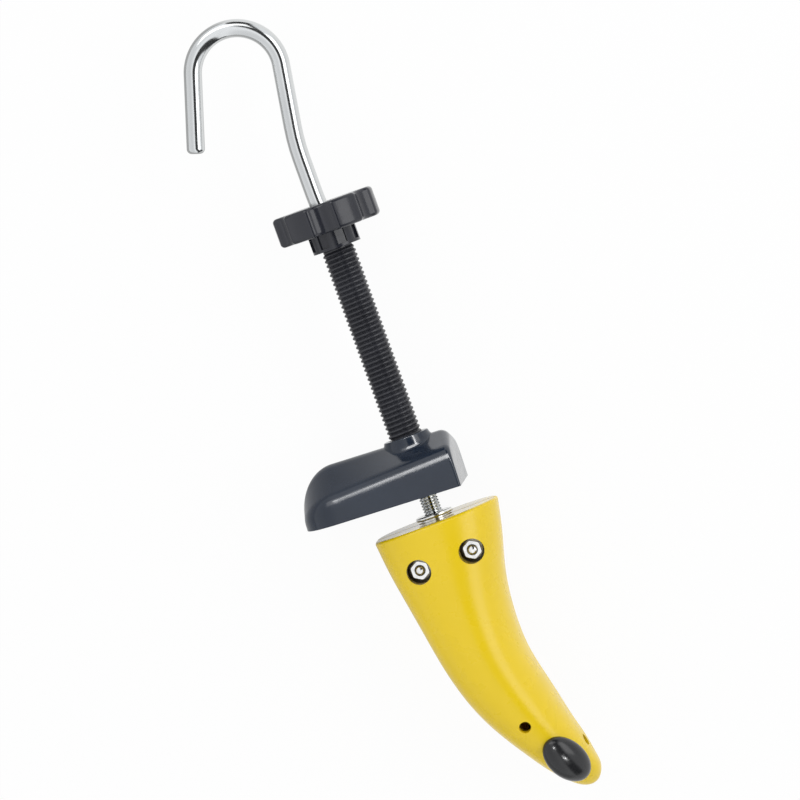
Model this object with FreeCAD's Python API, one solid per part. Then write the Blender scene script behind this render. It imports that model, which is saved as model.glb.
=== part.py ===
import FreeCAD, Part
import math
import os

# Two-way shoe stretcher for a high-heeled shoe, lying on its side.
# X runs from the sole side to the vamp side, Y along the rod towards the hook, Z up.
# Lengths are in millimetres. The pieces are drawn from the rod's axis and the flat top of the toe,
# and moved at the end so that the origin is under the middle of the whole stretcher.

# Fits and cuts
overrun = 2.0
press_clearance = 0.02
running_clearance = 0.05
thread_clearance = 0.1
seat_clearance = 0.4
bolt_clearance = 0.15

# Toe: two hollow halves that meet in the plane of the rod
toe_length = 127.6
toe_reach = 27.5
toe_half_breadth = 26.0
toe_wall = 3.0
toe_top_wall = 2.2
toe_split_gap = 0.4
toe_swing = 5.0
sole_squareness = 2.7
vamp_squareness = 2.2
section_points = 24
# Each station: sole point along and across, vamp point along and across, half breadth
toe_station_shares = (
    (0.008, -0.985, 0.000, 1.000, 0.923),
    (0.111, -0.935, 0.111, 0.891, 0.946),
    (0.237, -0.838, 0.237, 0.735, 0.969),
    (0.363, -0.736, 0.363, 0.655, 0.988),
    (0.482, -0.632, 0.482, 0.655, 1.000),
    (0.620, -0.443, 0.581, 0.735, 0.992),
    (0.755, -0.128, 0.690, 0.853, 0.930),
    (0.838, 0.122, 0.772, 0.940, 0.815),
    (0.905, 0.340, 0.847, 1.032, 0.655),
    (0.948, 0.516, 0.900, 1.076, 0.492),
    (0.983, 0.698, 0.945, 1.095, 0.292),
)
toe_tip_shares = (0.992, 0.953)
toe_hollow_stations = 10

# Plug holes: station counted from the top, and turn round the section from the vamp side in degrees
plug_hole_diameter = 5.0
plug_hole_stations = (6, 8, 8)
plug_hole_turns = (100.0, 16.0, 90.0)
plug_station = 8
plug_turn = 90.0
plug_length = 25.2
plug_width = 15.7
plug_height = 6.0
plug_skirt = 3.0
plug_stem_length = 8.0
plug_lift = 0.15

# Hinge plates, their pins and their bolts
hinge_y = -6.6
hinge_z = 8.0
hinge_pin_diameter = 4.0
hinge_ear_radius = 3.4
hinge_ear_inner = 9.3
hinge_ear_outer = 14.0
plate_inner_z = 7.1
plate_thickness = 2.0
plate_top_y = -12.6
plate_bottom_y = -64.0
plate_top_half_width = 16.5
plate_shoulder_y = -25.0
plate_waist_y = -34.0
flange_thickness = 2.0
near_flange_inner = 6.5
flange_side_gap = 0.5
flange_top_y = -40.0
flange_bottom_y = -60.0
flange_margin = 2.2
bolt_diameter = 4.0
bolt_places = ((-12.0, -17.6), (11.4, -16.7))
bolt_head_diameter = 7.0
bolt_head_height = 2.6
bolt_end = 1.5
bolt_washer_diameter = 9.0
bolt_washer_thickness = 0.8
bolt_nut_flats = 7.0
bolt_nut_height = 3.2
recess_diameter = 10.5
recess_floor = 2.5
boss_wall = 3.0
rib_thickness = 2.4
rib_half_width = 15.0
rib_places_y = (-32.0, -57.0)

# Hinge block, captive nut and washer at the top of the toe
block_half_width = 9.0
block_top_y = -3.3
block_pin_wall = 1.0
carrier_half_width = 7.5
carrier_wall = 1.4
carrier_lip = 1.0
neck_diameter = 12.5
neck_stand = 0.4
top_washer_diameter = 16.0
top_washer_thickness = 1.6
notch_clearance = 1.2

# Rod, screw thread M8, and its two nuts
rod_diameter = 7.6
rod_thread_diameter = 7.9
rod_thread_root = 6.6
rod_thread_pitch = 1.25
rod_thread_bottom_y = -31.0
rod_thread_top_y = 22.0
nut_flats = 13.0
nut_height = 6.5
captive_nut_y = -19.5
stop_nut_y = 13.0
rod_passage = 0.35

# Bends of the rod: a joggle hidden in the knob, a lean and the hook, turns to the left in degrees
rod_top_y = 126.5
joggle_turn = 8.5
joggle_radius = 45.0
joggle_length = 2.0
joggle_back_radius = 60.0
neck_length = 15.5
lean_turn = -9.3
lean_radius = 85.0
lean_length = 26.2
hook_turn = 171.5
hook_radius = 18.6
hook_leg = 33.0
hook_end_round_share = 0.55

# Crosshead that the rod pushes, with its pin and clip
crosshead_half_width = 6.0
crosshead_half_depth = 6.5
crosshead_length = 21.0
swivel_diameter = 5.5
swivel_length = 10.0
swivel_wall = 6.0
clip_window = 5.0
clip_window_half_depth = 4.3
clip_diameter = 8.0
clip_thickness = 1.0
clip_groove_diameter = 4.2
clip_gap = 3.0
cross_pin_y = -46.0
cross_pin_diameter = 4.0
cross_pin_end = 1.0
spreader_stroke = 8.0
slot_clearance = 0.25

# Threaded sleeve M14 and the knob on it
sleeve_thread_diameter = 14.0
sleeve_thread_root = 11.6
sleeve_thread_pitch = 2.0
sleeve_bore = 8.3
sleeve_top_y = 119.8
sleeve_end_gap = 0.1
sleeve_tail_diameter = 12.6
knob_diameter = 43.8
knob_bottom_y = 127.0
knob_height = 12.5
knob_lobes = 6
scallop_radius = 6.5
scallop_depth = 3.0
knob_corner_radius = 2.2
knob_edge_radius = 1.7
collar_diameter = 20.6
collar_pads = 8
collar_pad_depth = 1.0
collar_pad_width = 4.2
collar_lip = 1.2
collar_grip = 9.5
knob_bore = 11.0

# Heel piece: a hollow shell, open towards the toe
heel_end_x = 16.8
heel_straight_x = -34.3
heel_round_length = 17.5
heel_base_y = 12.5
heel_ridge_y = 34.3
heel_half_width = 24.6
heel_shoulder_y = 20.3
heel_end_shoulder_y = 25.0
heel_shoulder_inset_share = 0.41
heel_shoulder_radius = 4.0
heel_ridge_radius = 11.0
heel_front_y = 11.1
heel_tilt = 2.1
heel_end_round = 1.0
heel_depth_below = 6.0
heel_wall = 2.8
heel_plan_squareness = 2.6
heel_round_steps = 6
heel_round_sweep = 81.0
heel_boss_diameter = 22.0
heel_boss_top_diameter = 19.4
heel_boss_top_y = 36.2
heel_cone_diameter = 26.0
heel_cone_y = 26.0
heel_pocket_diameter = 17.0
heel_pocket_depth_y = 20.0
heel_rib_start_y = 17.0
heel_rib_x = -29.0
heel_stroke = 80.0

# Half width of a thread's ridge at its crest and at its root, as shares of the pitch
thread_crest_share = 0.1
thread_base_share = 0.4


def vec(x, y, z):
    return FreeCAD.Vector(x, y, z)


along_x = vec(1, 0, 0)
along_y = vec(0, 1, 0)
along_z = vec(0, 0, 1)


def block(x_range, y_range, z_range):
    """A box between two limits on each axis."""
    size = [limits[1] - limits[0] for limits in (x_range, y_range, z_range)]
    return Part.makeBox(size[0], size[1], size[2], vec(x_range[0], y_range[0], z_range[0]))


def bar_x(diameter, x_range, y, z):
    """A round bar along X."""
    return Part.makeCylinder(diameter / 2, x_range[1] - x_range[0], vec(x_range[0], y, z), along_x)


def bar_y(diameter, y_range, x=0, z=0):
    """A round bar along Y."""
    return Part.makeCylinder(diameter / 2, y_range[1] - y_range[0], vec(x, y_range[0], z), along_y)


def bar_z(diameter, z_range, x, y):
    """A round bar along Z."""
    return Part.makeCylinder(diameter / 2, z_range[1] - z_range[0], vec(x, y, z_range[0]), along_z)


def prism(points, direction):
    """A straight prism on a closed polygon."""
    face = Part.Face(Part.makePolygon(points + points[:1]))
    return face.extrude(direction)


def hexagon_y(flats, y_range):
    """A hexagonal bar along Y with flats facing the two X sides."""
    corner = flats / math.sqrt(3)
    angles = [math.pi / 6 + k * math.pi / 3 for k in range(6)]
    points = [vec(corner * math.cos(a), y_range[0], corner * math.sin(a)) for a in angles]
    return prism(points, along_y * (y_range[1] - y_range[0]))


def hexagon_z(flats, z_range, x, y):
    """A hexagonal bar along Z with a corner facing Y."""
    corner = flats / math.sqrt(3)
    angles = [math.pi / 6 + k * math.pi / 3 for k in range(6)]
    points = [vec(x + corner * math.cos(a), y + corner * math.sin(a), z_range[0]) for a in angles]
    return prism(points, along_z * (z_range[1] - z_range[0]))


def screw_thread(diameter, root, pitch, y_range):
    """A threaded bar along Y: one ridge a pitch, turned as rings without the thread's lead."""
    length = y_range[1] - y_range[0]
    ridges = math.floor(length / pitch)
    first = y_range[0] + (length - (ridges - 1) * pitch) / 2
    profile = [(root / 2, -thread_base_share), (diameter / 2, -thread_crest_share)]
    profile += [(radius, -share) for radius, share in reversed(profile)]
    points = [vec(0, y_range[0], 0), vec(root / 2, y_range[0], 0)]
    for k in range(ridges):
        for radius, share in profile:
            points.append(vec(radius, first + (k + share) * pitch, 0))
    points += [vec(root / 2, y_range[1], 0), vec(0, y_range[1], 0)]
    face = Part.Face(Part.makePolygon(points + points[:1]))
    return face.revolve(vec(0, 0, 0), along_y, 360)


def superellipse_radius(angle):
    """Reach of the unit toe section at an angle, squarer on the sole side."""
    power = vamp_squareness if math.cos(angle) > 0 else sole_squareness
    return (abs(math.cos(angle)) ** power + abs(math.sin(angle)) ** power) ** (-1 / power)


def toe_point(station, angle, inset):
    """A point on the toe's section at one station, moved in by the inset."""
    sole_y, sole_x, vamp_y, vamp_x, breadth = toe_station_shares[station]
    sole = vec(sole_x * toe_reach, -sole_y * toe_length, 0)
    vamp = vec(vamp_x * toe_reach, -vamp_y * toe_length, 0)
    half = (vamp - sole) * 0.5
    across = half * ((half.Length - inset) / half.Length)
    reach = superellipse_radius(angle)
    rise = along_z * (breadth * toe_half_breadth - inset)
    return (sole + vamp) * 0.5 + across * (reach * math.cos(angle)) + rise * (reach * math.sin(angle))


def toe_section(station, inset):
    """The closed outline of the toe at one station."""
    start = -math.pi / 2
    step = 2 * math.pi / section_points
    points = [toe_point(station, start + k * step, inset) for k in range(section_points)]
    curve = Part.BSplineCurve()
    curve.interpolate(Points=points, PeriodicFlag=True, Parameters=list(range(section_points + 1)))
    return Part.Wire([curve.toShape()])


def toe_form(inset):
    """The whole toe, closed to its tip, as one smooth body."""
    wires = [toe_section(k, inset) for k in range(len(toe_station_shares))]
    tip = vec(toe_tip_shares[1] * toe_reach, -toe_tip_shares[0] * toe_length, 0)
    return Part.makeLoft(wires + [Part.Vertex(tip)], True, False)


def toe_hollow():
    """The room inside the toe, below its top wall."""
    wires = [toe_section(k, toe_wall) for k in range(toe_hollow_stations)]
    room = Part.makeLoft(wires, True, False)
    return room.cut(far_box(y_range=(-toe_top_wall, overrun)))


def far_box(y_range=None, z_range=None):
    """A box wider than the whole stretcher, limited only where it is told."""
    far = 4 * toe_length
    wide = (-far, far)
    return block(wide, y_range or wide, z_range or wide)


def toe_surface_frame(station, turn):
    """Point on the toe, outward normal and lengthwise direction at a station and a turn."""
    angle = math.radians(turn)
    step = math.pi / section_points
    point = toe_point(station, angle, 0)
    lengthwise = toe_point(station + 1, angle, 0) - toe_point(station - 1, angle, 0)
    round_it = toe_point(station, angle + step, 0) - toe_point(station, angle - step, 0)
    normal = round_it.cross(lengthwise).normalize()
    return point, normal, lengthwise.normalize()


def plate_outer_z():
    return plate_inner_z + plate_thickness


def recess_floor_z():
    return plate_outer_z() + recess_floor


def toe_seats():
    """Bosses round the bolts and ribs behind the plate, from the plate out."""
    reach = (plate_outer_z(), 2 * toe_half_breadth)
    seats = [bar_z(recess_diameter + 2 * boss_wall, reach, x, y) for x, y in bolt_places]
    room_y = (block_pin_bottom_y() - 2 * seat_clearance, overrun)
    hinge_room = far_box(y_range=room_y, z_range=(0, recess_floor_z()))
    seats = [seat.cut(hinge_room) for seat in seats]
    for y in rib_places_y:
        rib_y = (y - rib_thickness / 2, y + rib_thickness / 2)
        seats.append(block((-rib_half_width, rib_half_width), rib_y, reach))
    return seats


def swing_relief():
    """Wedge that lets the top of a half lean in past the hinge line."""
    top = overrun - hinge_y
    lean = top * math.tan(math.radians(toe_swing)) + toe_split_gap
    far = 2 * toe_reach
    points = [vec(-far, hinge_y, 0), vec(-far, overrun, 0), vec(-far, overrun, lean)]
    return prism(points, along_x * (2 * far))


def near_toe_shell():
    """The upper half of the toe, hollow, with bolt recesses, plug holes and a notch for the neck."""
    room = toe_hollow().cut(toe_seats())
    half_space = far_box(z_range=(toe_split_gap / 2, 4 * toe_length))
    shell = toe_form(0).cut(room).common(half_space)
    cuts = [swing_relief()]
    out_z = 2 * toe_half_breadth
    for x, y in bolt_places:
        cuts.append(bar_z(recess_diameter, (recess_floor_z(), out_z), x, y))
        cuts.append(bar_z(bolt_diameter + 2 * bolt_clearance, (0, out_z), x, y))
    cuts.append(bar_y(neck_diameter + 2 * notch_clearance, (-toe_wall - overrun, overrun)))
    for station, turn in zip(plug_hole_stations, plug_hole_turns):
        point, normal, _ = toe_surface_frame(station, turn)
        start = point - normal * (toe_wall + overrun)
        cuts.append(Part.makeCylinder(plug_hole_diameter / 2, toe_wall + 2 * overrun, start, normal))
    return shell.cut(cuts)


def mirrored(shape):
    """The same piece on the other side of the split."""
    return shape.mirror(vec(0, 0, 0), along_z)


def pin_seen_from_half(travel):
    """Where the cross pin lies in the near half's own rest position after some travel."""
    swing = math.radians(toe_swing) * travel / spreader_stroke
    y = cross_pin_y - travel - hinge_y
    z = -hinge_z
    back_y = y * math.cos(swing) - z * math.sin(swing)
    back_z = y * math.sin(swing) + z * math.cos(swing)
    return vec(0, hinge_y + back_y, hinge_z + back_z)


def drive_slot(x_range):
    """Curved slot, followed by the cross pin as the half swings open."""
    start, middle, end = [pin_seen_from_half(spreader_stroke * k / 2) for k in range(3)]
    half_width = cross_pin_diameter / 2 + slot_clearance
    centre = Part.Arc(start, middle, end).toShape().Curve.Center

    def shifted(point, by):
        return point + (point - centre).normalize() * by

    outer = Part.Arc(shifted(start, half_width), shifted(middle, half_width), shifted(end, half_width))
    inner = Part.Arc(shifted(end, -half_width), shifted(middle, -half_width), shifted(start, -half_width))
    ends = []
    for point, beyond in ((end, end - middle), (start, start - middle)):
        out = (point - centre).normalize()
        beyond = (beyond - out * beyond.dot(out)).normalize()
        sides = [shifted(point, half_width), shifted(point, -half_width)]
        if point == start:
            sides.reverse()
        ends.append(Part.Arc(sides[0], point + beyond * half_width, sides[1]))
    outline = Part.Wire([outer.toShape(), ends[0].toShape(), inner.toShape(), ends[1].toShape()])
    outline.translate(along_x * x_range[0])
    return Part.Face(outline).extrude(along_x * (x_range[1] - x_range[0]))


def flange_depth_z():
    """Lowest edge of the near plate's flanges."""
    return pin_seen_from_half(spreader_stroke).z - cross_pin_diameter / 2 - slot_clearance - flange_margin


def hinge_plate(flange_inner, window):
    """Stamped plate of the near half: two ears on the pin and two slotted flanges."""
    flange_outer = flange_inner + flange_thickness
    waist = flange_outer + (flange_margin if window else 0)
    outline = [
        vec(plate_top_half_width, plate_top_y, plate_inner_z),
        vec(plate_top_half_width, plate_shoulder_y, plate_inner_z),
        vec(waist, plate_waist_y, plate_inner_z),
        vec(waist, plate_bottom_y, plate_inner_z),
    ]
    outline += [vec(-p.x, p.y, p.z) for p in reversed(outline)]
    plate = prism(outline, along_z * plate_thickness)
    pieces = []
    cuts = []
    for side in (-1, 1):
        ear_x = sorted((side * hinge_ear_inner, side * hinge_ear_outer))
        pieces.append(bar_x(2 * hinge_ear_radius, ear_x, hinge_y, hinge_z))
        tab_y = (plate_top_y - overrun, hinge_y)
        pieces.append(block(ear_x, tab_y, (plate_inner_z, plate_outer_z())))
        cuts.append(bar_x(hinge_pin_diameter + 2 * running_clearance, ear_x, hinge_y, hinge_z))
        flange_x = sorted((side * flange_inner, side * flange_outer))
        flange = block(flange_x, (flange_bottom_y, flange_top_y), (flange_depth_z(), plate_outer_z()))
        pieces.append(flange.cut(drive_slot(flange_x)))
    for x, y in bolt_places:
        cuts.append(bar_z(bolt_diameter + 2 * bolt_clearance, (0, toe_half_breadth), x, y))
    room_x = carrier_half_width + flange_side_gap
    room_y = (captive_nut_y - carrier_lip - seat_clearance, plate_top_y + overrun)
    cuts.append(block((-room_x, room_x), room_y, (plate_inner_z, plate_outer_z())))
    if window:
        window_y = (flange_bottom_y - seat_clearance, flange_top_y + seat_clearance)
        cuts.append(block((-flange_inner, flange_inner), window_y, (plate_inner_z, plate_outer_z())))
    return plate.fuse(pieces).cut(cuts).removeSplitter()


def near_hinge_plate():
    return hinge_plate(near_flange_inner, False)


def far_hinge_plate():
    """The lower plate's flanges pass outside the upper plate's."""
    return mirrored(hinge_plate(near_flange_inner + flange_thickness + flange_side_gap, True))


def bolt_tip_z():
    return recess_floor_z() + bolt_washer_thickness + bolt_nut_height + bolt_end


def near_bolts():
    """Two bolts, heads inside the plate and ends in the recesses."""
    bolts = []
    for x, y in bolt_places:
        head = bar_z(bolt_head_diameter, (plate_inner_z - bolt_head_height, plate_inner_z), x, y)
        shank = bar_z(bolt_diameter, (plate_inner_z, bolt_tip_z()), x, y)
        bolts.append(head.fuse(shank))
    return Part.makeCompound(bolts)


def near_bolt_washers():
    washers = []
    top = recess_floor_z() + bolt_washer_thickness
    for x, y in bolt_places:
        disc = bar_z(bolt_washer_diameter, (recess_floor_z(), top), x, y)
        washers.append(disc.cut(bar_z(bolt_diameter + 2 * bolt_clearance, (0, bolt_tip_z()), x, y)))
    return Part.makeCompound(washers)


def near_bolt_nuts():
    nuts = []
    start = recess_floor_z() + bolt_washer_thickness
    for x, y in bolt_places:
        nut = hexagon_z(bolt_nut_flats, (start, start + bolt_nut_height), x, y)
        nuts.append(nut.cut(bar_z(bolt_diameter + 2 * thread_clearance, (0, bolt_tip_z()), x, y)))
    return Part.makeCompound(nuts)


def bunion_plug():
    """Oval dome pressed into a plug hole, its underside following the toe."""
    point, normal, lengthwise = toe_surface_frame(plug_station, plug_turn)
    sideways = normal.cross(lengthwise).normalize()
    lengthwise = sideways.cross(normal)
    ball = Part.makeSphere(1)
    scale = FreeCAD.Matrix()
    scale.scale(vec(plug_length / 2, plug_width / 2, plug_height))
    dome = ball.transformGeometry(scale)
    flat = far_box(z_range=(-4 * toe_length, -plug_skirt))
    dome = dome.cut(flat)
    place = FreeCAD.Matrix(
        lengthwise.x, sideways.x, normal.x, point.x,
        lengthwise.y, sideways.y, normal.y, point.y,
        lengthwise.z, sideways.z, normal.z, point.z,
        0, 0, 0, 1,
    )
    dome.Placement = FreeCAD.Placement(place)
    dome = dome.cut(toe_form(-plug_lift))
    stem_diameter = plug_hole_diameter - 2 * running_clearance
    stem_end = point - normal * plug_stem_length
    stem = Part.makeCylinder(stem_diameter / 2, plug_stem_length + overrun, stem_end, normal)
    return dome.fuse(stem)


def block_pin_bottom_y():
    return hinge_y - hinge_pin_diameter / 2 - 2 * block_pin_wall


def carrier_half_depth():
    return nut_flats / math.sqrt(3) + carrier_wall


def hinge_block():
    """Block between the halves that holds the hinge pins and the captive nut."""
    pin_y = (block_pin_bottom_y(), block_top_y)
    pin_z = hinge_z + hinge_pin_diameter / 2 + block_pin_wall
    body = block((-block_half_width, block_half_width), pin_y, (-pin_z, pin_z))
    carrier_y = (captive_nut_y - carrier_lip, pin_y[0])
    depth = carrier_half_depth()
    carrier = block((-carrier_half_width, carrier_half_width), carrier_y, (-depth, depth))
    neck = bar_y(neck_diameter, (block_top_y, neck_stand))
    body = body.fuse([carrier, neck])
    nut_room = (carrier_y[0] - overrun, captive_nut_y + nut_height)
    cuts = [hexagon_y(nut_flats + 2 * press_clearance, nut_room)]
    cuts.append(bar_y(rod_thread_diameter + 2 * rod_passage, (carrier_y[0], neck_stand + overrun)))
    for z in (-hinge_z, hinge_z):
        through = (-block_half_width - overrun, block_half_width + overrun)
        cuts.append(bar_x(hinge_pin_diameter + 2 * press_clearance, through, hinge_y, z))
    return body.cut(cuts).removeSplitter()


def hinge_pin(z):
    return bar_x(hinge_pin_diameter, (-hinge_ear_outer, hinge_ear_outer), hinge_y, z)


def hex_nut(start_y):
    nut = hexagon_y(nut_flats, (start_y, start_y + nut_height))
    through = (start_y - overrun, start_y + nut_height + overrun)
    return nut.cut(bar_y(rod_thread_diameter + 2 * thread_clearance, through))


def top_washer():
    y_range = (neck_stand, neck_stand + top_washer_thickness)
    bore = bar_y(rod_thread_diameter + 2 * rod_passage, (neck_stand - overrun, y_range[1] + overrun))
    return bar_y(top_washer_diameter, y_range).cut(bore)


def crosshead_bottom_y():
    return rod_thread_bottom_y - crosshead_length


def clip_y():
    """Upper face of the clip, just under the crosshead's top wall."""
    return rod_thread_bottom_y - swivel_wall - running_clearance


def crosshead():
    """Block pushed by the rod's end, with a window for the clip."""
    width = (-crosshead_half_width, crosshead_half_width)
    depth = (-crosshead_half_depth, crosshead_half_depth)
    body = block(width, (crosshead_bottom_y(), rod_thread_bottom_y), depth)
    window_top = rod_thread_bottom_y - swivel_wall
    window_depth = (-clip_window_half_depth, clip_window_half_depth)
    through = (-crosshead_half_width - overrun, crosshead_half_width + overrun)
    cuts = [block(through, (window_top - clip_window, window_top), window_depth)]
    cuts.append(bar_y(swivel_diameter + 2 * running_clearance, (window_top, rod_thread_bottom_y + overrun)))
    cuts.append(bar_x(cross_pin_diameter + 2 * press_clearance, through, cross_pin_y, 0))
    return body.cut(cuts)


def cross_pin():
    reach = near_flange_inner + 2 * flange_thickness + flange_side_gap + cross_pin_end
    return bar_x(cross_pin_diameter, (-reach, reach), cross_pin_y, 0)


def swivel_clip():
    """Open ring in the groove of the rod's end."""
    y_range = (clip_y() - clip_thickness, clip_y())
    ring = bar_y(clip_diameter, y_range)
    hole = clip_groove_diameter + 2 * running_clearance
    cuts = [bar_y(hole, (y_range[0] - overrun, y_range[1] + overrun))]
    cuts.append(block((0, clip_diameter), y_range, (-clip_gap / 2, clip_gap / 2)))
    return ring.cut(cuts)


def bent_rod(start_y, moves):
    """Centre line in the plane of the hook: straight runs and tangent bends."""
    point = vec(0, start_y, 0)
    heading = math.pi / 2
    edges = []
    for length, turn, radius in moves:
        ahead = point + vec(math.cos(heading), math.sin(heading), 0) * length
        edges.append(Part.LineSegment(point, ahead).toShape())
        point = ahead
        if turn:
            side = math.copysign(1, turn)
            centre = point + vec(-math.sin(heading), math.cos(heading), 0) * (radius * side)
            stops = []
            for share in (0.5, 1.0):
                at = heading + math.radians(turn) * share
                stops.append(centre + vec(math.sin(at), -math.cos(at), 0) * (radius * side))
            edges.append(Part.Arc(point, stops[0], stops[1]).toShape())
            point = stops[1]
            heading += math.radians(turn)
    return Part.Wire(edges)


def hook_rod():
    """Steel rod: swivel end, M8 thread, straight shank and hook."""
    moves = (
        (rod_top_y - rod_thread_top_y, joggle_turn, joggle_radius),
        (joggle_length, -joggle_turn, joggle_back_radius),
        (neck_length, lean_turn, lean_radius),
        (lean_length, hook_turn, hook_radius),
        (hook_leg, 0, 0),
    )
    path = bent_rod(rod_thread_top_y, moves)
    ring = Part.Wire([Part.makeCircle(rod_diameter / 2, vec(0, rod_thread_top_y, 0), along_y)])
    shank = path.makePipeShell([ring], True, False)
    tip = path.Vertexes[-1].Point
    end_edges = [e for e in shank.Edges if e.Closed and (e.CenterOfMass - tip).Length < rod_diameter / 2]
    shank = shank.makeFillet(rod_diameter / 2 * hook_end_round_share, end_edges)
    thread_y = (rod_thread_bottom_y, rod_thread_top_y)
    thread = screw_thread(rod_thread_diameter, rod_thread_root, rod_thread_pitch, thread_y)
    swivel = bar_y(swivel_diameter, (rod_thread_bottom_y - swivel_length, rod_thread_bottom_y))
    groove_y = (clip_y() - clip_thickness - running_clearance, clip_y() + running_clearance)
    groove = bar_y(clip_diameter, groove_y).cut(bar_y(clip_groove_diameter, groove_y))
    return shank.fuse([thread, swivel.cut(groove)])


def sleeve_start_y():
    return stop_nut_y + nut_height + sleeve_end_gap


def threaded_sleeve():
    """Hollow screw on the rod, its plain tail held in the knob."""
    thread_y = (sleeve_start_y(), sleeve_top_y)
    thread = screw_thread(sleeve_thread_diameter, sleeve_thread_root, sleeve_thread_pitch, thread_y)
    tail = bar_y(sleeve_tail_diameter, (sleeve_top_y, knob_bottom_y + knob_height - collar_grip))
    bore = bar_y(sleeve_bore, (sleeve_start_y() - overrun, knob_bottom_y + knob_height + overrun))
    return thread.fuse(tail).cut(bore)


def hand_knob():
    """Six-lobed knob with a ribbed collar below."""
    top = knob_bottom_y + knob_height
    body = bar_y(knob_diameter, (knob_bottom_y, top))
    radius = knob_diameter / 2
    scallop_place = radius - scallop_depth + scallop_radius
    scallops = []
    for k in range(knob_lobes):
        angle = math.pi / 2 + 2 * math.pi * k / knob_lobes
        x, z = scallop_place * math.cos(angle), scallop_place * math.sin(angle)
        scallops.append(bar_y(2 * scallop_radius, (knob_bottom_y - overrun, top + overrun), x, z))
    body = body.cut(scallops)
    corners = [e for e in body.Edges if abs(e.BoundBox.YLength - knob_height) < overrun and is_straight(e)]
    corners = [e for e in corners if not seam_edge(e, body)]
    body = body.makeFillet(knob_corner_radius, corners)
    rims = [e for e in body.Edges if e.BoundBox.YLength < knob_edge_radius]
    body = body.makeFillet(knob_edge_radius, rims)
    collar = bar_y(collar_diameter, (sleeve_top_y, knob_bottom_y + overrun))
    pads = []
    for k in range(collar_pads):
        pad = block(
            (-collar_pad_width / 2, collar_pad_width / 2),
            (sleeve_top_y + collar_lip, knob_bottom_y),
            (collar_diameter / 2 - collar_pad_depth, collar_diameter),
        )
        pad.rotate(vec(0, 0, 0), along_y, 360 * (k + 0.5) / collar_pads)
        pads.append(pad)
    body = body.fuse(collar.cut(pads))
    socket = bar_y(sleeve_tail_diameter + 2 * press_clearance, (sleeve_top_y - overrun, top - collar_grip))
    bore = bar_y(knob_bore, (top - collar_grip, top + overrun))
    return body.cut([socket, bore]).removeSplitter()


def is_straight(edge):
    return edge.Curve.TypeId == "Part::GeomLine"


def seam_edge(edge, body):
    return any(edge.isSeam(face) for face in body.Faces)


def heel_outline(inset, shoulder_y):
    """Half-round section of the heel piece across the rod, as lines and tangent arcs."""
    width = heel_half_width - inset
    ridge = vec(0, heel_ridge_y - inset, 0)
    shoulder = vec(0, shoulder_y - inset * heel_shoulder_inset_share, width)
    foot = vec(0, heel_base_y - heel_depth_below, width)
    other = vec(0, shoulder.y, -shoulder.z)
    lifted = heel_peak(ridge, shoulder)
    ridge_arc = corner_arc(shoulder, lifted, other, heel_ridge_radius)
    shoulder_arc = corner_arc(foot, shoulder, lifted, heel_shoulder_radius)
    flip = [vec(0, p.y, -p.z) for p in reversed(shoulder_arc)]
    last = vec(0, foot.y, -foot.z)
    edges = [
        Part.LineSegment(foot, shoulder_arc[0]),
        Part.Arc(*shoulder_arc),
        Part.LineSegment(shoulder_arc[2], ridge_arc[0]),
        Part.Arc(*ridge_arc),
        Part.LineSegment(ridge_arc[2], flip[0]),
        Part.Arc(*flip),
        Part.LineSegment(flip[2], last),
        Part.LineSegment(last, foot),
    ]
    return Part.Wire([edge.toShape() for edge in edges])


def heel_peak(ridge, shoulder):
    """Sharp peak of the roof whose rounding just reaches the ridge height."""
    peak = vec(0, ridge.y, 0)
    for _ in range(12):
        half_angle = math.atan2(shoulder.z, peak.y - shoulder.y)
        drop = heel_ridge_radius * (1 / math.sin(half_angle) - 1)
        peak = vec(0, ridge.y + drop, 0)
    return peak


def corner_arc(before, corner, after, radius):
    """Start, middle and end of the tangent arc that rounds a corner."""
    to_before = (before - corner).normalize()
    to_after = (after - corner).normalize()
    half_angle = to_before.getAngle(to_after) / 2
    reach = radius / math.tan(half_angle)
    bisector = (to_before + to_after).normalize()
    centre = corner + bisector * (radius / math.sin(half_angle))
    return [corner + to_before * reach, centre - bisector * radius, corner + to_after * reach]


def heel_form(inset):
    """Solid heel: shoulders that rise towards the flat end, drawn in to a round end on the sole side."""
    outline = heel_outline(inset, heel_shoulder_y)
    start = outline.copy()
    start.translate(along_x * heel_straight_x)
    end = heel_outline(inset, heel_end_shoulder_y)
    end.translate(along_x * (heel_end_x - inset))
    straight = Part.makeLoft([start, end], True, True)
    if not inset:
        ends = [e for e in straight.Edges if e.BoundBox.XMin > heel_end_x - heel_end_round]
        straight = straight.makeFillet(heel_end_round, [e for e in ends if e.BoundBox.YMax > heel_base_y])
    wires = []
    for k in range(heel_round_steps + 1):
        angle = math.radians(heel_round_sweep) * k / heel_round_steps
        height = math.cos(angle)
        breadth = (1 - math.sin(angle) ** heel_plan_squareness) ** (1 / heel_plan_squareness)
        matrix = FreeCAD.Matrix()
        matrix.A22 = height
        matrix.A33 = breadth
        matrix.A14 = heel_straight_x - (heel_round_length - inset) * math.sin(angle)
        matrix.A24 = heel_base_y * (1 - height)
        wires.append(outline.transformGeometry(matrix))
    wires.reverse()
    return straight.fuse(Part.makeLoft(wires, True, False))


def heel_front_cut():
    """Everything in front of the heel's slanting front."""
    slope = math.tan(math.radians(heel_tilt))
    far = 4 * toe_length
    points = [
        vec(-far, heel_front_y + far * slope, -far),
        vec(far, heel_front_y - far * slope, -far),
        vec(far, heel_front_y - far, -far),
        vec(-far, heel_front_y - far, -far),
    ]
    return prism(points, along_z * (2 * far))


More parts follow.
